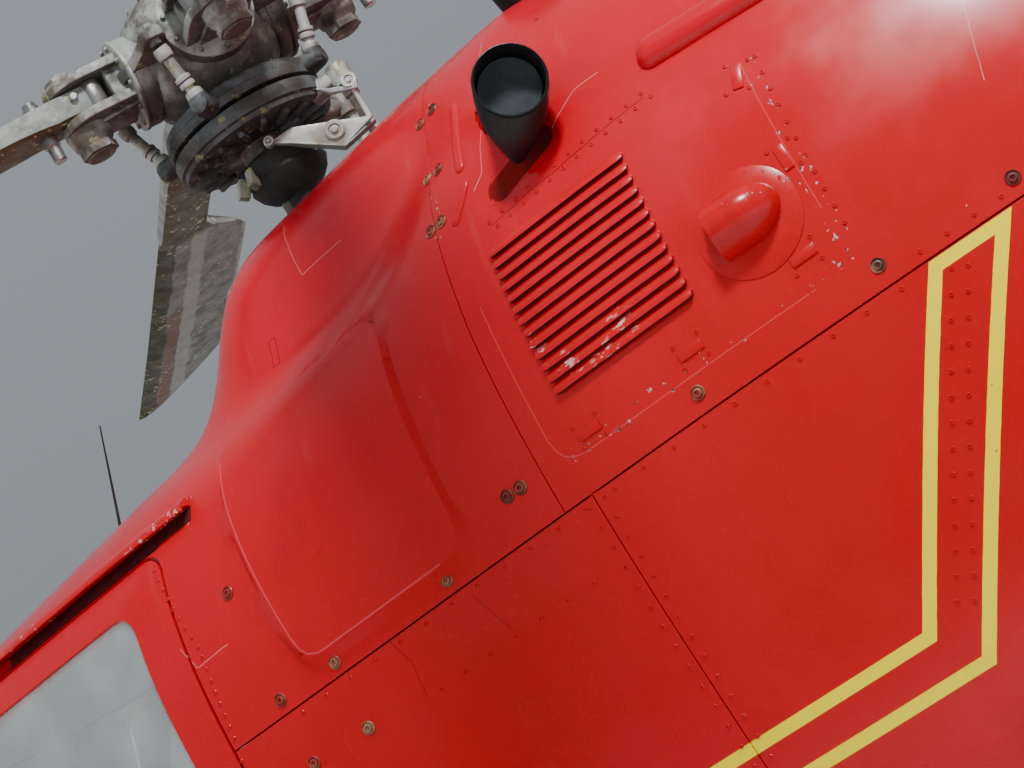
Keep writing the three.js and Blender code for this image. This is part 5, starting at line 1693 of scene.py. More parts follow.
PIN_STUD = ((0.015, 0.07), (0.015, 0.082), (0.012, 0.0845))
PIN_FOOT = ((0.018, -0.114), (0.030, -0.111), (0.034, -0.104), (0.035, -0.088), (0.043, -0.078),
            (0.047, -0.060), (0.047, -0.050))


def on_x(profile, sides=48):
    return turned(profile, (0, 0, 0), (1, 0, 0), sides)


def hexagon(x, y, z0, z1, radius):
    """A nut or a bolt's head that stands upright."""
    low, high = min(z0, z1), max(z0, z1)
    rim = min(0.002, (high - low) / 3)
    return upright([(radius * 0.93, low), (radius, low + rim), (radius, high - rim),
                    (radius * 0.93, high)], x, y, 6)


def fork_outline():
    arc = [(i / 14 - 0.5) * math.pi for i in range(15)]
    return [(0.165, -PLATE_HALF)] + [(0.262 + (PLATE_END - 0.262) * math.cos(a), PLATE_HALF * math.sin(a))
                                     for a in arc] + [(0.165, PLATE_HALF)]


def arm():
    parts = [on_x(SLEEVE), on_x(COLLAR), bevelled(block((0.172, -0.056, -0.0325), (0.215, 0.056, 0.0325)),
                                                  0.005)]
    for sign in (1, -1):
        low, high = sorted((sign * (ROOT_HALF + 0.0004), sign * (ROOT_HALF + PLATE_T)))
        parts.append(bevelled(flat_plate(fork_outline(), low, high), 0.004, 3))
        low, high = sorted((sign * (ROOT_HALF + PLATE_T - 0.002), sign * (ROOT_HALF + PLATE_T + 0.009)))
        parts.append(bevelled(flat_plate(FORK_WEB, low, high), 0.006))
    parts += [upright(PIN_TOP, PIN_X), hexagon(PIN_X, 0, 0.062, 0.076, 0.031),
              upright(PIN_STUD, PIN_X, sides=20), upright(PIN_FOOT, PIN_X),
              hexagon(PIN_X, 0, -0.108, -0.088, 0.040)]
    for cos, sin in circle(10, 0.5):
        spot = Vector((0, COLLAR_BOLT_R * cos, COLLAR_BOLT_R * sin))
        parts.append(turned([(0.0055, 0.178), (0.0055, 0.184), (0.004, 0.186)], spot,
                            spot + Vector((1, 0, 0)), 6))
    return joined(*parts)


def horn():
    outline = [(0.078, 0.05), (0.198, 0.05), (0.168, 0.10), (0.152, 0.16), (0.151, 0.195), (0.143, 0.214),
               (0.125, 0.221), (0.107, 0.214), (0.099, 0.195), (0.098, 0.15), (0.088, 0.10)]
    plate = bevelled(flat_plate(outline, -0.016, 0.010), 0.004)
    rib = bevelled(flat_plate([(0.112, 0.06), (0.140, 0.06), (0.132, 0.18), (0.118, 0.18)], 0.006, 0.020),
                   0.004)
    return joined(plate, rib, hexagon(*HORN_TIP, 0.008, 0.020, 0.014),
                  hexagon(*HORN_TIP, -0.026, -0.014, 0.014))


one_arm = joined(arm(), horn())
hub = turned([(0.05, -0.138), (0.096, -0.135), (0.112, -0.118), (0.140, -0.085), (0.150, -0.06),
              (0.1525, -0.04), (0.150, -0.034), (0.150, 0.045), (0.153, 0.052), (0.150, 0.07),
              (0.130, 0.104), (0.105, 0.124), (0.080, 0.126), (0.078, 0.140), (0.062, 0.150),
              (0.02, 0.151)], sides=72)
hub_bolts = [hexagon(0.092 * cos, 0.092 * sin, 0.120, 0.134, 0.009) for cos, sin in circle(12)]
arms = [copied(one_arm, Matrix.Rotation(turn, 4, "Z") @ Matrix.Rotation(-PRECONE, 4, "Y"))
        for turn in ARM_TURNS]
bpy.data.objects.remove(one_arm)
MAST_FOOT = 2.351 - HUB.z
mast = turned([(0.032, MAST_FOOT), (0.032, -0.33), (0.050, -0.29), (0.050, -0.14), (0.090, -0.135)],
              sides=48)
head = joined(hub, mast, *hub_bolts, *arms)
head.data.transform(Matrix.Translation((0, HUB.y, HUB.z)))
finish(head, "rotor_head_forging", "weathered_metal", CASTING, body="main_rotor",
       stands_for=["rotor_head"], angle=38)

# %% [markdown]
# The swashplate passes the pilot's commands to the turning blades: its lower ring is tilted by levers,
# its upper ring turns with the mast and pushes four links. Rings are turned from a profile, and a link is
# a rod with a turnbuckle and a ball end.

# %% Swashplate and pitch links
LINK_TURN = math.atan2(HORN_TIP[1], HORN_TIP[0])
LINK_TOP_R, LINK_FOOT_R, LINK_FOOT_Z, LINK_TOP_Z = 0.2316, 0.196, 2.690, 2.803
RING_Z = 2.655


def around(radius, angle, z):
    return Vector((radius * math.cos(angle), HUB.y + radius * math.sin(angle), z))


def standing(profile, x=0.0, y=0.0, sides=64):
    return upright(profile, x, HUB.y + y, sides)


def pitch_link(foot, top):
    length = (top - foot).length
    return turned([(0.008, -0.006), (0.017, 0.0), (0.0195, 0.010), (0.017, 0.020), (0.0105, 0.024),
                   (0.0105, 0.030), (0.0155, 0.031), (0.0165, 0.036), (0.0155, 0.041), (0.0125, 0.043),
                   (0.0165, 0.046), (0.0165, 0.053), (0.0115, 0.056), (0.0115, length - 0.022),
                   (0.016, length - 0.018), (0.018, length - 0.006), (0.016, length + 0.006)], foot, top,
                  20)


def ball_lug(angle):
    """A forged ear on the upper ring, with the ball that a link sits on."""
    ear = turned([(0.027, 0.140), (0.026, 0.175), (0.0225, 0.205), (0.018, 0.216), (0.008, 0.219)],
                 around(0, angle, 2.676), around(1, angle, 2.676), 24)
    eye = standing([(0.020, 2.660), (0.0225, 2.664), (0.0225, 2.692), (0.019, 2.697), (0.010, 2.698)],
                   LINK_FOOT_R * math.cos(angle), LINK_FOOT_R * math.sin(angle), 24)
    return joined(ear, eye)


upper_ring = standing([(0.110, RING_Z), (0.164, RING_Z), (0.173, 2.658), (0.1745, 2.664), (0.1745, 2.675),
                       (0.169, 2.678), (0.169, 2.690), (0.166, 2.699), (0.150, 2.7015), (0.105, 2.696),
                       (0.090, 2.730), (0.070, 2.735), (0.054, 2.735)], sides=72)
ring_bolts = [hexagon(0.138 * cos, aft(0.138 * sin), 2.698, 2.708, 0.0075) for cos, sin in circle(16, 0.4)]
link_turns = [turn + LINK_TURN for turn in ARM_TURNS]
lugs = [ball_lug(angle) for angle in link_turns]
finish(joined(upper_ring, *ring_bolts, *lugs), "swashplate_upper", "weathered_metal", CASTING_DARK,
       body="main_rotor", stands_for=["swashplate_turning"])
links = [pitch_link(around(LINK_FOOT_R, angle, LINK_FOOT_Z), around(LINK_TOP_R, angle, LINK_TOP_Z))
         for angle in link_turns]
finish(joined(*links), "pitch_links", "weathered_metal", ROD_GREY, body="main_rotor")

# %% Lower ring, its rods and the bell-crank
ROD_TURNS = [math.radians(angle) for angle in (100, 150)]
CRANK = (Vector((0.080, 0.060, 2.564)), Vector((0.053, 0.108, 2.566)), Vector((-0.017, 0.241, 2.496)),
         Vector((0.022, 0.169, 2.473)), Vector((0.062, 0.094, 2.540)))
CRANK_THICK = Vector((0.879, 0.477, 0)) * 0.007
CRANK_EYE = Vector((0.021, 0.170, 2.512))
UPPER_EYE = Vector((-0.016, 0.239, 2.584))
UPPER_FOOT = Vector((0.0, 0.165, 2.618))
SIGHT = CRANK_THICK.normalized()


def moved(spot, x, y, z):
    return spot + Vector((x, y, z))


def at_mast(spot):
    return moved(spot, 0, HUB.y, 0)


def eye(centre, radius, half):
    """A bearing in its boss, its axis level and square to the lever."""
    profile = [(radius * 0.86, -half), (radius, -half + 0.002), (radius, half - 0.002),
               (radius * 0.86, half), (radius * 0.60, half), (radius * 0.56, half - 0.003),
               (radius * 0.34, half - 0.002), (radius * 0.30, half + 0.003), (radius * 0.1, half + 0.003)]
    return turned(profile, at_mast(centre), at_mast(centre) + SIGHT, 28)


def slab(outline, thick):
    return bevelled(loft([[at_mast(spot) + thick * sign for spot in outline] for sign in (-1, 1)]), 0.0025)


lower_ring = standing([(0.062, 2.600), (0.120, 2.598), (0.160, 2.600), (0.169, 2.604), (0.171, 2.614),
                       (0.176, 2.617), (0.1775, 2.628), (0.1775, 2.640), (0.174, 2.6475),
                       (0.062, 2.6480)], sides=72)
pad_places = [Matrix.Translation((0, HUB.y, 0)) @ Matrix.Rotation(i / 18 * math.tau, 4, "Z")
              for i in range(18)]
pads = strewn(bevelled(block((0.1, -0.006, 2.588), (0.155, 0.006, 2.602)), 0.003), pad_places)
finish(joined(lower_ring, pads), "swashplate_lower", "weathered_metal", CASTING_DARK,
       stands_for=["swashplate_fixed"])
rods = []
for angle in ROD_TURNS:
    rods.append(turned([(0.026, 0.150), (0.022, 0.19), (0.019, 0.224), (0.012, 0.230)],
                       around(0, angle, 2.614), around(1, angle, 2.614), 20))
    x, y = 0.222 * math.cos(angle), 0.222 * math.sin(angle)
    rods.append(standing([(0.013, 2.352), (0.013, 2.56), (0.017, 2.565), (0.017, 2.578), (0.013, 2.58),
                          (0.013, 2.588), (0.024, 2.590), (0.026, 2.600), (0.026, 2.628), (0.022, 2.637),
                          (0.010, 2.640)], x, y, 20))
finish(joined(*rods), "control_rods", "weathered_metal", ROD_GREY)
crank = slab(CRANK, CRANK_THICK)
foot_flange = slab((moved(CRANK[0], 0, 0, -0.004), moved(CRANK[4], 0, 0, -0.006),
                    moved(CRANK[3], 0, 0, -0.004), moved(CRANK[2], 0, 0, -0.012), CRANK[3], CRANK[4]),
                   CRANK_THICK * 2.2)
upper_arm = slab((UPPER_FOOT, moved(UPPER_FOOT, -0.006, 0.028, -0.034),
                  moved(UPPER_EYE, 0.004, 0.010, -0.026), moved(UPPER_EYE, -0.002, 0.015, 0.0),
                  moved(UPPER_EYE, 0.004, -0.014, -0.004), moved(UPPER_FOOT, 0, 0.030, -0.022)),
                 CRANK_THICK)
tie = rod(at_mast(UPPER_EYE), at_mast(moved(CRANK[2], 0.004, -0.006, 0.002)), 0.0055, sides=14)
eyes = [eye(CRANK_EYE, 0.021, 0.013), eye(UPPER_EYE, 0.0165, 0.011),
        eye(moved(CRANK[0], 0.004, 0.004, 0), 0.011, 0.012)]
finish(joined(crank, foot_flange, upper_arm, tie, *eyes), "bell_crank", "weathered_metal", LEVER_GREY)

# %% [markdown]
# A rubber boot closes the hole round the mast. It is turned in soft folds, and two pale lugs clamp its
# rim.

# %% Mast boot
BOOT_AFT = 0.018
boot = standing([(0.040, 2.3505), (0.036, 2.462), (0.044, 2.466), (0.062, 2.476), (0.078, 2.492),
                 (0.088, 2.512), (0.084, 2.520), (0.090, 2.532), (0.088, 2.552), (0.080, 2.562),
                 (0.060, 2.563)], y=BOOT_AFT, sides=56)
finish(boot, "mast_boot_rubber", "black_rubber", RUBBER, stands_for=["mast_boot"])
clamp_places = [Matrix.Translation(around(0.088, angle, 2.528)) @ Matrix.Rotation(angle, 4, "Z")
                @ Matrix.Rotation(-0.5, 4, "Y") for angle in (-0.12, -0.62, 1.6, 3.4)]
clamps = strewn(bevelled(block((-0.012, -0.010, -0.022), (0.012, 0.010, 0.022)), 0.004), clamp_places)
finish(clamps, "boot_clamps", "weathered_metal", LICHEN_GREY)

# %% [markdown]
# ## Blades
# Each blade starts as a stout block in the fork, runs out as a neck with flat sides, and widens in a
# slanting step to the wing section. All four were sawn off in a slant. A ring of points goes from box to
# wing section as the blade does, and a UV map keeps each point's distance out along the blade and its
# place across it, so that the bands of paint follow the blade however it is turned.

# %% Blades
BLADE_LEAD, BLADE_TRAIL, NECK_TRAIL, END_SAG = 0.057, -0.213, -0.074, -0.054
CHORD_STEPS = 14
BLADE_ROWS = (
    # x at the leading edge, at the trailing edge, leading y, trailing y, thickness, sag,
    # y from which x changes, power of the boxy section, share of the wing section
    (0.228, 0.228, 0.030, -0.030, 0.040, 0, 0.05, 3, 0),
    (0.234, 0.234, 0.044, -0.044, 0.054, 0, 0.05, 6, 0),
    (0.250, 0.250, 0.050, -0.050, 0.058, 0, 0.05, 9, 0),
    (0.345, 0.345, 0.046, -0.046, 0.058, 0, 0.05, 9, 0),
    (0.372, 0.372, 0.050, -0.052, 0.055, -0.001, 0.05, 8, 0),
    (0.430, 0.430, 0.055, -0.062, 0.052, -0.003, 0.055, 7, 0),
    (0.560, 0.560, BLADE_LEAD, NECK_TRAIL, 0.050, -0.008, BLADE_LEAD, 6, 0),
    (0.800, 0.800, BLADE_LEAD, NECK_TRAIL, 0.046, -0.017, BLADE_LEAD, 5, 0),
    (1.005, 1.005, BLADE_LEAD, NECK_TRAIL, 0.042, -0.0255, BLADE_LEAD, 4, 0),
    (1.018, 1.060, BLADE_LEAD, -0.100, 0.039, -0.026, NECK_TRAIL, 4, 0.3),
    (1.024, 1.150, BLADE_LEAD, -0.180, 0.035, -0.0265, NECK_TRAIL, 3, 0.7),
    (1.030, 1.213, BLADE_LEAD, BLADE_TRAIL, 0.032, -0.027, NECK_TRAIL, 2, 1),
    (1.250, 1.300, BLADE_LEAD, BLADE_TRAIL, 0.032, -0.032, NECK_TRAIL, 2, 1),
    (1.500, 1.500, BLADE_LEAD, BLADE_TRAIL, 0.032, -0.038, BLADE_LEAD, 2, 1),
    (1.850, 1.800, BLADE_LEAD, BLADE_TRAIL, 0.032, -0.046, BLADE_LEAD, 2, 1),
)
BLADES = (
    # name, turn, cut at the leading edge, cut at the trailing edge
    ("fore_port", -45, 2.436, 2.340), ("aft_port", 45, 2.440, 2.260),
    ("aft_starboard", 135, 2.400, 2.310), ("fore_starboard", 225, 2.550, 2.131),
)
OUTER_PIN_X, BUSH_PLACE, BOSS_Z, SAW_BITE = 0.368, (0.2485, 0.034), 0.010, 0.0022
OUTER_PIN = ((0.011, -0.084), (0.014, -0.081), (0.014, -0.050), (0.0175, -0.048), (0.0175, -0.033),
             (0.0145, -0.031), (0.0145, 0.034), (0.0175, 0.036), (0.0175, 0.044), (0.014, 0.046),
             (0.014, 0.055), (0.010, 0.058))
BUSH = ((0.020, -0.0285), (0.0215, -0.026), (0.0215, 0.026), (0.020, 0.0285))
BOSS = ((0.009, 0.040), (0.009, 0.056), (0.0065, 0.058))


def blade_ring(lead_x, trail_x, lead, trail, thick, sag, start, power, wing, bite=0.0):
    points = []
    steps = eased(CHORD_STEPS)
    for face, line in ((1, steps), (-1, steps[::-1])):
        for t in line:
            box = (1 - abs(2 * t - 1) ** power) ** (1 / power) / 2
            y = lead + (trail - lead) * t
            x = lead_x + (trail_x - lead_x) * max(0, start - y) / (start - trail)
            z = thick * max(box * (1 - wing) + wing_half(t) * wing, 0.025)
            points.append((x + random.uniform(-bite, bite), y, face * z + sag))
    return points


def steel_pin():
    parts = [upright(OUTER_PIN, OUTER_PIN_X, sides=28)]
    for sign in (1, -1):
        parts.append(upright(BUSH, BUSH_PLACE[0], sign * BUSH_PLACE[1], 28))
        parts.append(turned(BOSS, (PIN_X, 0, BOSS_Z), (PIN_X, sign, BOSS_Z), 16))
    return joined(*parts)


random.seed(7)
for name, turn, lead_end, trail_end in BLADES:
    rings = [blade_ring(*row) for row in BLADE_ROWS]
    rings.append(blade_ring(lead_end, trail_end, BLADE_LEAD, BLADE_TRAIL, 0.032, END_SAG, BLADE_LEAD, 2,
                            1, SAW_BITE))
    blade = loft(rings)
    layer = blade.data.uv_layers.new(name="blade")
    for loop in blade.data.loops:
        layer.data[loop.index].uv = blade.data.vertices[loop.vertex_index].co.xy
    stand = (Matrix.Translation((0, HUB.y, HUB.z)) @ Matrix.Rotation(math.radians(turn), 4, "Z")
             @ Matrix.Rotation(-PRECONE, 4, "Y"))
    blade.data.transform(stand)
    pin = steel_pin()
    pin.data.transform(stand)
    finish(blade, "blade_" + name, "blade_skin", BLADE_SKIN, body="main_rotor",
           stands_for=["rotor_blade_" + name], angle=40)
    finish(pin, "blade_pins_" + name, "weathered_metal", STEEL, body="main_rotor")

# %% [markdown]
# ## Inside the cabin
# The windows show the cabin, so it is furnished. The floor, the deck and the heavy units behind the
# bulkhead have the right shape in the frame already. They only get their finishes.

# %% Finishes for what the frame brings along
for name, material in (("cabin_floor", FLOOR_GREY), ("engine_deck", CABIN_GREY), ("main_gearbox", CASTING),
                       ("engine_port", STEEL), ("engine_starboard", STEEL)):
    for slot in frame["nodes"][name].material_slots:
        slot.material = material
print("floor, deck, gearbox and engines have their finishes")

# %% [markdown]
# A crew seat is a shallow pan and a back shell of thin sheet on a tube frame that stands on two floor
# rails. The back is drawn in the front view and its corners are rounded before it is lofted to its
# thickness.

# %% Seat frames and the bench
SEAT_X, FLOOR_TOP = 0.33, 0.6215
BACK_OUTLINE = [(-0.225, 0.87), (0.225, 0.87), (0.228, 1.28), (0.175, 1.495), (-0.175, 1.495),
                (-0.228, 1.28)]


def front_plate(outline, y0, y1):
    """A plate drawn in the front view as (across, height)."""
    return loft([[(x, aft(y), z) for x, z in outline] for y in (y0, y1)])


def seat_frame():
    parts = [bevelled(front_plate(rounded(BACK_OUTLINE, 0.07), -1.2545, -1.232), 0.006),
             bevelled(block((-0.228, aft(-1.698), 0.862), (0.228, aft(-1.233), 0.884)), 0.007),
             tube([(-0.222, aft(-1.232), 0.95), (-0.222, aft(-1.232), 1.30), (-0.15, aft(-1.232), 1.488),
                   (0.15, aft(-1.232), 1.488), (0.222, aft(-1.232), 1.30), (0.222, aft(-1.232), 0.95)],
                  0.009, 12)]
    for x in (-0.17, 0.17):
        parts.append(bevelled(block((x - 0.014, aft(-1.64), FLOOR_TOP), (x + 0.014, aft(-1.28), 0.642)),
                              0.003))
        for y, lean in ((-1.62, 0.05), (-1.30, -0.03)):
            parts.append(tube([(x, aft(y), 0.64), (x, aft(y + lean / 2), 0.75),
                               (x, aft(y + lean), 0.864)], 0.011, 12))
        parts.append(tube([(x, aft(-1.60), 0.70), (x, aft(-1.45), 0.78), (x, aft(-1.31), 0.85)], 0.007, 8))
    parts.append(bevelled(block((-0.17, aft(-1.62), 0.742), (0.17, aft(-1.585), 0.752)), 0.002))
    return joined(*parts)


seat = seat_frame()
for side, sign in SIDES:
    twin = copied(seat, Matrix.Translation((sign * SEAT_X, 0, 0)))
    finish(twin, "seat_frame_" + side, "grey_interior", CABIN_GREY, stands_for=["seat_" + side])
bpy.data.objects.remove(seat)

bench_parts = [bevelled(block((-0.598, aft(-0.718), 0.882), (0.598, aft(-0.332), 0.904)), 0.006),
               bevelled(block((-0.598, aft(-0.354), 0.882), (0.598, aft(-0.332), 1.455)), 0.006),
               bevelled(block((-0.555, aft(-0.655), FLOOR_TOP), (0.555, aft(-0.402), 0.866)), 0.012)]
for x in (-0.40, 0.0, 0.40):
    bench_parts.append(tube([(x, aft(-0.69), 0.885), (x, aft(-0.672), 0.75), (x, aft(-0.668), 0.63)],
                            0.011, 12))
finish(joined(*bench_parts), "bench", "grey_interior", CABIN_GREY, stands_for=["bench_frame"])

# %% [markdown]
# A pad is foam in a tight cover. It starts as a box a little smaller than the finished pad, is remeshed
# into small even faces, and cloth with air pressure inside lets it swell for a few steps. How far a point
# may travel is capped, so that the pad stays in its place. The sewn channels are pressed in afterwards.

# %% Cushions
PAD_VOXEL, PAD_FRAMES, PAD_PRESSURE, PAD_CAP, PAD_FILL = 0.0070, 20, 4.0, 0.024, 0.75
CHANNEL_HALF, CHANNEL_DEPTH = 0.0045, 0.006


def stuffed(low, high, start_in):
    pad = bevelled(block([a + b for a, b in zip(low, start_in)], [a - b for a, b in zip(high, start_in)]),
                   0.016, 3)
    modify(pad, "REMESH", mode="VOXEL", voxel_size=PAD_VOXEL)
    rest = [vert.co.copy() for vert in pad.data.vertices]
    hold(pad)
    cloth = pad.modifiers.new("cloth", "CLOTH")
    cloth.settings.use_pressure = True
    cloth.settings.uniform_pressure_force = PAD_PRESSURE
    cloth.settings.effector_weights.gravity = 0
    for step in range(1, PAD_FRAMES + 1):
        bpy.context.scene.frame_set(step)
    bpy.ops.object.modifier_apply(modifier=cloth.name)
    bpy.context.scene.frame_set(1)
    for vert, start in zip(pad.data.vertices, rest):
        moved = vert.co - start
        vert.co = start + moved * min(1, PAD_CAP / max(moved.length, 1e-6))
    return pad


def channelled(pad, axis, places, way):
    """Press sewn channels into the side of a pad that faces way."""
    inside = lambda vert: (vert.normal.dot(way) > 0.5
                           and any(abs(vert.co[axis] - place) < CHANNEL_HALF for place in places))
    pick(pad, "verts", inside)
    bpy.ops.transform.shrink_fatten(value=-CHANNEL_DEPTH)
    return modify(pad, "SUBSURF", levels=1, render_levels=1)


def seat_fabric():
    """A woven cover: two sets of fine threads crossing, a little soiled."""
    cloth = Finish("seat_cloth", (0.10, 0.15, 0.22), 0.85, sheen_weight=0.3)
    soil = cloth.ramp(cloth.noise(4, 5), 0.4, 0.75)
    cloth.colour(cloth.mix(soil, (0.20, 0.27, 0.36), (0.13, 0.17, 0.23)))
    threads = [cloth.math("SINE", cloth.times(part, 1600.0)) for part in (cloth.x, cloth.y, cloth.z)]
    weave = cloth.plus(cloth.times(threads[0], threads[1]), threads[2])
    cloth.bump(weave, 0.0006, 0.5)
    return cloth.material


FABRIC = seat_fabric()
UP, FORWARD = Vector((0, 0, 1)), Vector((0, -1, 0))
crew_pad = channelled(stuffed((-0.215, aft(-1.69), 0.885), (0.215, aft(-1.26), 0.965),
                              (0.018, 0.018, 0.012)), 0, (-0.075, 0.075), UP)
crew_back = channelled(stuffed((-0.205, aft(-1.33), 0.985), (0.205, aft(-1.255), 1.485),
                               (0.018, 0.012, 0.018)), 2, (1.10, 1.20, 1.30), FORWARD)
bench_pad = channelled(stuffed((-0.196, aft(-0.715), 0.905), (0.196, aft(-0.36), 0.99),
                               (0.016, 0.018, 0.012)), 0, (-0.065, 0.065), UP)
bench_back = channelled(stuffed((-0.196, aft(-0.435), 1.005), (0.196, aft(-0.355), 1.445),
                                (0.016, 0.012, 0.018)), 2, (1.13, 1.23, 1.33), FORWARD)


def upholstered(pattern, name, x, stands_for=()):
    pad = copied(pattern, Matrix.Translation((x, 0, 0)))
    finish(pad, name, "seat_fabric", FABRIC, stands_for=stands_for, angle=60)


for side, sign in SIDES:
    upholstered(crew_pad, "seat_pad_" + side, sign * SEAT_X, ["seat_cushion_" + side])
    upholstered(crew_back, "seat_back_pad_" + side, sign * SEAT_X)
for place, x in (("port", 0.394), ("middle", 0.0), ("starboard", -0.394)):
    upholstered(bench_pad, "bench_pad_" + place, x, ["bench_cushion"] if place == "middle" else ())
    upholstered(bench_back, "bench_back_pad_" + place, x)
for pattern in (crew_pad, crew_back, bench_pad, bench_back):
    bpy.data.objects.remove(pattern)

# %% [markdown]
# Belts, the instrument panel and the controls are what gives a cabin its scale. The dials are turned: a
# bezel, a dark face a little below it, a ring of ticks and a hand. They stand square to the panel's
# sloping face.

# %% Instrument panel
PANEL_SIDE = [(-2.118, 1.002), (-2.060, 1.188), (-1.932, 1.198), (-1.990, 0.992)]
PANEL_FOOT, PANEL_TOP = Vector((0, aft(-1.990), 0.990)), Vector((0, aft(-1.930), 1.200))
PANEL_UP = (PANEL_TOP - PANEL_FOOT).normalized()
PANEL_OUT = PANEL_UP.cross(Vector((1, 0, 0))).normalized()
DIALS = [(x, up, 0.036) for up in (0.155, 0.062) for x in (-0.33, -0.235, -0.14, 0.14, 0.235, 0.33)]
DIALS += [(x, up, 0.021) for x in (-0.055, 0.0, 0.055) for up in (0.17, 0.115, 0.06)]
DIAL_WHITE = plain("dial_white", (0.70, 0.70, 0.66), (0.62, 0.62, 0.58), 0.5, 30)
DIAL_BLACK = plain("dial_black", (0.010, 0.010, 0.011), (0.014, 0.014, 0.015), 0.25, 30, depth=0.0)


def dial(x, up, radius, turn):
    seat_on = PANEL_FOOT + PANEL_UP * up + Vector((x, 0, 0)) + PANEL_OUT * 0.001
    bezel = turned([(radius, 0), (radius, 0.006), (radius * 0.93, 0.0075), (radius * 0.88, 0.003),
                    (0.001, 0.0028)], sides=28)
    marks = strewn(block((-0.0008, radius * 0.68, 0.0026), (0.0008, radius * 0.84, 0.0034)),
                   [Matrix.Rotation(k / 12 * math.tau + 0.8, 4, "Z") for k in range(10)])
    hand = block((-0.0011, -radius * 0.15, 0.0030), (0.0011, radius * 0.66, 0.0040))
    hand.data.transform(Matrix.Rotation(turn, 4, "Z"))
    face = joined(dressed(bezel, DIAL_BLACK), dressed(marks, DIAL_WHITE), dressed(hand, DIAL_WHITE))
    return placed(face, seat_on, seat_on + PANEL_OUT)


board = bevelled(side_plate(PANEL_SIDE, -0.398, 0.398), 0.008)
glare = bevelled(side_plate([(-2.075, 1.188), (-2.055, 1.198), (-1.925, 1.207), (-1.925, 1.201)], -0.399,
                            0.399), 0.001)
pillar = bevelled(side_plate([(-2.078, FLOOR_TOP), (-2.078, 1.008), (-1.962, 1.008), (-1.842, 0.899),
                              (-1.822, FLOOR_TOP)], -0.089, 0.089), 0.008)
boxes = [bevelled(block((x - 0.034, aft(-1.835), z), (x + 0.034, aft(-1.817), z + 0.045)), 0.002)
         for x in (-0.04, 0.04) for z in (0.70, 0.755, 0.81)]
dials = [dial(x, up, radius, 0.7 + 1.9 * i) for i, (x, up, radius) in enumerate(DIALS)]
finish(joined(dressed(joined(board, glare, pillar, *boxes), DARK_PLASTIC), *dials), "instruments",
       "black_plastic", stands_for=["instrument_panel"])

# %% [markdown]
# Each pilot has a stick between the knees, a lever beside the seat and two pedals. They are small
# controls and don't move here.

# %% Sticks, levers, pedals and belts
STRAP = ((-1.237, 1.503), (-1.28, 1.507), (-1.335, 1.47), (-1.353, 1.40), (-1.356, 1.30), (-1.356, 1.15),
         (-1.36, 1.06))
STRAP_HALF, STRAP_THICK = 0.022, 0.0025
GRIP = ((0.012, 0), (0.019, 0.01), (0.017, 0.05), (0.020, 0.085), (0.019, 0.105), (0.010, 0.112))
GAITER = ((0.045, 0), (0.040, 0.012), (0.030, 0.016), (0.033, 0.026), (0.022, 0.030), (0.018, 0.045))
TWIST = ((0.014, 0), (0.017, 0.006), (0.017, 0.10), (0.013, 0.11))


def strap(x):
    """A flat belt over the back of a seat: its thin section, lofted down its line."""
    low, high = x - STRAP_HALF, x + STRAP_HALF
    rings = [((low, aft(y), z), (high, aft(y), z), (high, aft(y) + STRAP_THICK, z + 0.001),
              (low, aft(y) + STRAP_THICK, z + 0.001)) for y, z in STRAP]
    return loft(rings)


def pedal(x):
    plate = bevelled(block((x - 0.038, aft(-2.045), 0.735), (x + 0.038, aft(-2.03), 0.815)), 0.004)
    return joined(plate, tube([(x, aft(-1.99), 0.622), (x, aft(-2.02), 0.70), (x, aft(-2.034), 0.77)],
                              0.008, 10))


for side, sign in SIDES:
    x = sign * SEAT_X
    stick = tube([(x, aft(-1.80), 0.622), (x, aft(-1.83), 0.76), (x, aft(-1.80), 0.92),
                  (x, aft(-1.765), 1.01)], 0.0095, 12)
    grip = turned(GRIP, (x, aft(-1.77), 0.995), (x, aft(-1.745), 1.10), 20)
    gaiter = turned(GAITER, (x, aft(-1.80), FLOOR_TOP), (x, aft(-1.805), 1.0), 24)
    lever_x = x - 0.258
    lever = tube([(lever_x, aft(-1.36), 0.70), (lever_x, aft(-1.50), 0.80), (lever_x, aft(-1.66), 0.90)],
                 0.011, 12)
    twist = turned(TWIST, (lever_x, aft(-1.645), 0.89), (lever_x, aft(-1.72), 0.935), 20)
    bracket = bevelled(block((lever_x - 0.018, aft(-1.40), FLOOR_TOP),
                             (lever_x + 0.018, aft(-1.32), 0.715)), 0.005)
    pedals = [pedal(x + shift) for shift in (-0.085, 0.085)]
    finish(joined(stick, grip, gaiter, lever, twist, bracket, *pedals), "controls_" + side,
           "black_plastic", DARK_PLASTIC)
    belts = []
    for middle_x in (x - 0.07, x + 0.07):
        buckle = block((middle_x - STRAP_HALF, aft(-1.235), 1.495),
                       (middle_x + STRAP_HALF, aft(-1.226), 1.502))
        belts += [bevelled(buckle, 0.001), strap(middle_x)]
    finish(joined(*belts), "belts_" + side, "black_rubber", RUBBER)

# %% [markdown]
# ## Fittings outside
# Handles, hinges, lamps, aerials and wipers are small, but the eye misses them at once where they are
# left out. Each stands on the skin by the same frame as the rivets do.

# %% Door handles and hinges
LAMP_GLASS = Finish("lamp_glass", (0.80, 0.84, 0.86), 0.08, transmission_weight=0.6).material
LAMP_RED = plain("lamp_red", (0.55, 0.01, 0.01), (0.42, 0.006, 0.006), 0.12, 30, depth=0.0)
LAMP_GREEN = plain("lamp_green", (0.01, 0.30, 0.10), (0.008, 0.22, 0.07), 0.12, 30, depth=0.0)
CUP = rounded([(-0.055, -0.022), (0.055, -0.022), (0.055, 0.022), (-0.055, 0.022)], 0.02)
PADDLE = rounded([(-0.046, -0.010), (0.040, -0.012), (0.040, 0.012), (-0.046, 0.010)], 0.008)
PIN_OUT = 0.0045


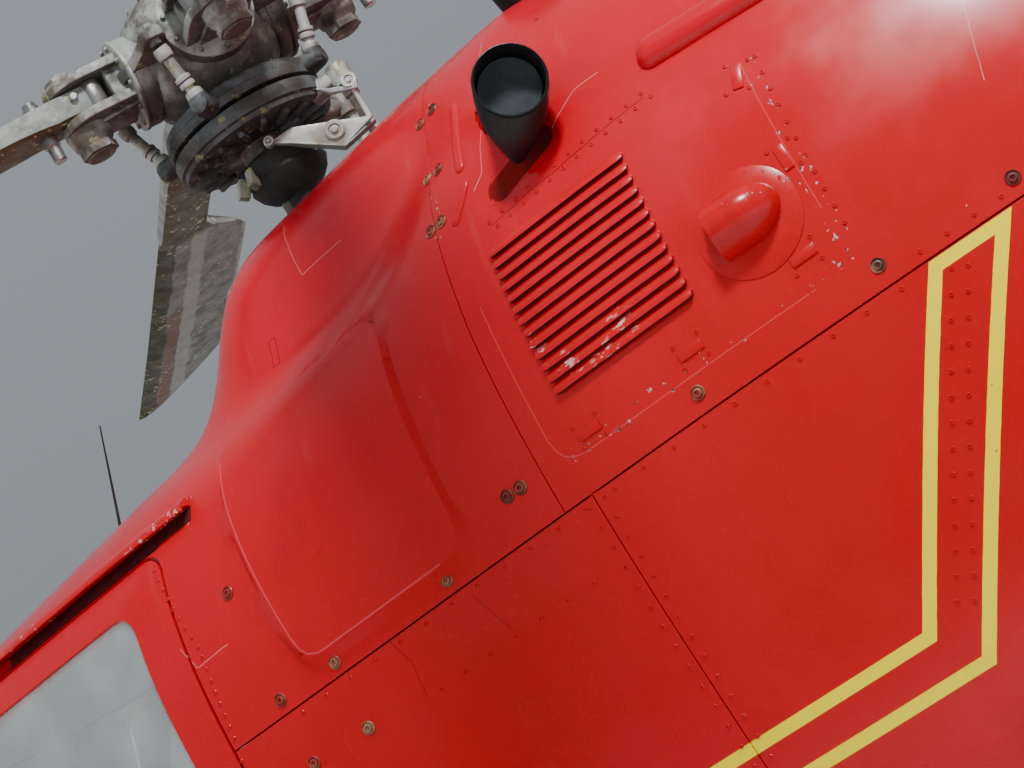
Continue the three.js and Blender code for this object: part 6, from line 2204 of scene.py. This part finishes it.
def handle(y, z, turn):
    """A flush cup with a paddle lever across it."""
    cup = bevelled(flat_plate(CUP, -0.002, 0.0025), 0.0012)
    lever = bevelled(flat_plate(PADDLE, 0.003, 0.009), 0.002)
    pivot = upright([(0.012, 0.0), (0.012, 0.011), (0.009, 0.0125)], -0.036, sides=20)
    fitting = joined(dressed(cup, RED), dressed(lever, STEEL), dressed(pivot, STEEL))
    fitting.data.transform(skin_frame(y, z, turn))
    return fitting


def hinge(y, z):
    """The fixed leaf and the knuckles, the pin upright."""
    leaf = bevelled(block((-0.040, -0.028, -0.001), (-0.003, 0.028, 0.0028)), 0.001)
    knuckles = [turned([(0.0050, a), (0.0058, a + 0.001), (0.0058, b - 0.001), (0.0050, b)],
                       (0, 0, PIN_OUT), (0, 1, PIN_OUT), 16)
                for a, b in ((-0.032, -0.012), (-0.011, 0.011), (0.012, 0.032))]
    fitting = joined(leaf, *knuckles)
    fitting.data.transform(skin_frame(y, z))
    return fitting


for name, place, body in (("front", (-1.185, 0.985, 0), "front_door_{}"),
                          ("slide", (-0.985, 0.955, 0), "airframe"),
                          ("rear", (1.72, 1.30, math.radians(-62)), "rear_door_{}")):
    on_both_sides(handle(*place), "handle_" + name, "weathered_metal", body=body)
on_both_sides(joined(hinge(-1.972, 0.78), hinge(-1.972, 1.10)), "door_hinges", "weathered_metal", STEEL)
print("handles and hinges in place")

# %% Aerials, lamps and wipers
whip = joined(turned([(0.022, -0.004), (0.022, 0.008), (0.012, 0.016), (0.006, 0.03)],
                     (0, aft(-0.85), 2.066), (0, aft(-0.80), 2.2), 24),
              rod((0, aft(-0.845), 2.08), (0, aft(-0.71), 2.37), 0.0042, 0.0015, 12))
finish(whip, "whip_aerial", "black_plastic", DARK_PLASTIC)
AERIAL = ((0.007, 3.02), (0.001, 2.90), (-0.001, 2.90), (-0.007, 3.02), (-0.001, 3.16), (0.001, 3.16))
blade_aerial = loft([[(x * wide, aft(y), z) for x, y in AERIAL] for wide, z in ((1, 1.555), (1.536, 1.44))])
bevelled(blade_aerial, 0.0004, 1)
finish(blade_aerial, "blade_aerial", "black_plastic", DARK_PLASTIC)


def lamp(foot, tip, base, lens, glass, sides):
    """A turned lens on a turned base."""
    return joined(dressed(turned(base, foot, tip, sides), DARK_PLASTIC),
                  dressed(turned(lens, foot, tip, sides), glass))


beacon = lamp((0, aft(2.62), 2.035), (0, aft(2.62), 3), ((0.040, 0), (0.042, 0.006), (0.038, 0.014)),
              ((0.033, 0.019), (0.033, 0.050), (0.028, 0.067), (0.015, 0.077), (0.004, 0.079)), LAMP_RED,
              32)
finish(beacon, "beacon", "clear_glass")
for side, sign, glass in (("port", 1, LAMP_RED), ("starboard", -1, LAMP_GREEN)):
    foot = (sign * 1.2585, aft(4.93), 1.93)
    position_lamp = lamp(foot, (foot[0] - sign, foot[1], foot[2]),
                         ((0.021, 0), (0.021, 0.005), (0.018, 0.007)),
                         ((0.017, 0.004), (0.017, 0.014), (0.013, 0.022), (0.005, 0.026)), glass, 24)
    finish(position_lamp, "position_lamp_" + side, "clear_glass")
landing = lamp((0, aft(-2.18), 0.628), (0, aft(-2.65), -0.122),
               ((0.070, 0), (0.076, 0.012), (0.076, 0.030), (0.070, 0.034), (0.066, 0.028)),
               ((0.066, 0.024), (0.066, 0.028), (0.045, 0.034), (0.010, 0.037)), LAMP_GLASS, 40)
finish(landing, "landing_lamp", "clear_glass")


def on_front(x, z, out=0.0):
    """A place on the nose or a windscreen, seen from the front."""
    spot, normal, _, _ = SKIN_TREE.ray_cast(Vector((x, aft(-4), z)), Vector((0, 1, 0)))
    return spot + normal * out


WIPER_ARM = ((0.10, 1.165, 0.012), (0.16, 1.27, 0.026), (0.21, 1.40, 0.024), (0.25, 1.50, 0.016))
STEP_X = 1.08
WIPER_RUBBER = ((0.185, 1.30), (0.215, 1.42), (0.25, 1.55), (0.285, 1.66))
for side, sign in SIDES:
    arm_line = [on_front(sign * x, z, out) for x, z, out in WIPER_ARM]
    wiper = tube(arm_line, 0.0045, 10)
    rubber = tube([on_front(sign * x, z, 0.006) for x, z in WIPER_RUBBER], 0.0055, 10)
    base = turned([(0.020, -0.004), (0.020, 0.010), (0.012, 0.016)], on_front(sign * 0.10, 1.165),
                  arm_line[0], 24)
    finish(joined(wiper, rubber, base), "wiper_" + side, "black_plastic", DARK_PLASTIC)

pitot = tube([(0.0, aft(-1.42), 1.965), (0.0, aft(-1.46), 2.03), (0.0, aft(-1.52), 2.045),
              (0.0, aft(-1.66), 2.045)], 0.008, 12)
finish(pitot, "pitot", "weathered_metal", STEEL)
cap = turned([(0.052, -0.002), (0.052, 0.003), (0.047, 0.005), (0.040, 0.0035), (0.020, 0.0035),
              (0.014, 0.006)], sides=40)
cap.data.transform(MIRROR @ skin_frame(0.27, 1.02))
whole(cap)
bpy.ops.mesh.normals_make_consistent(inside=False)
finish(cap, "fuel_cap", "weathered_metal", STEEL)
for side, sign in SIDES:
    x = sign * STEP_X
    tread = bevelled(block((x - 0.055, aft(-1.52), 0.352), (x + 0.055, aft(-1.02), 0.366)), 0.004)
    stays = [tube([(x, aft(y), 0.355), (sign * 1.10, aft((y - 1.05) / 2), 0.30),
                   (sign * 1.115, aft(-1.05), 0.262)], 0.009, 10) for y in (-1.40, -1.10)]
    finish(joined(tread, *stays), "step_" + side, "skid_paint", SKID_GREY)
print("fittings in place")
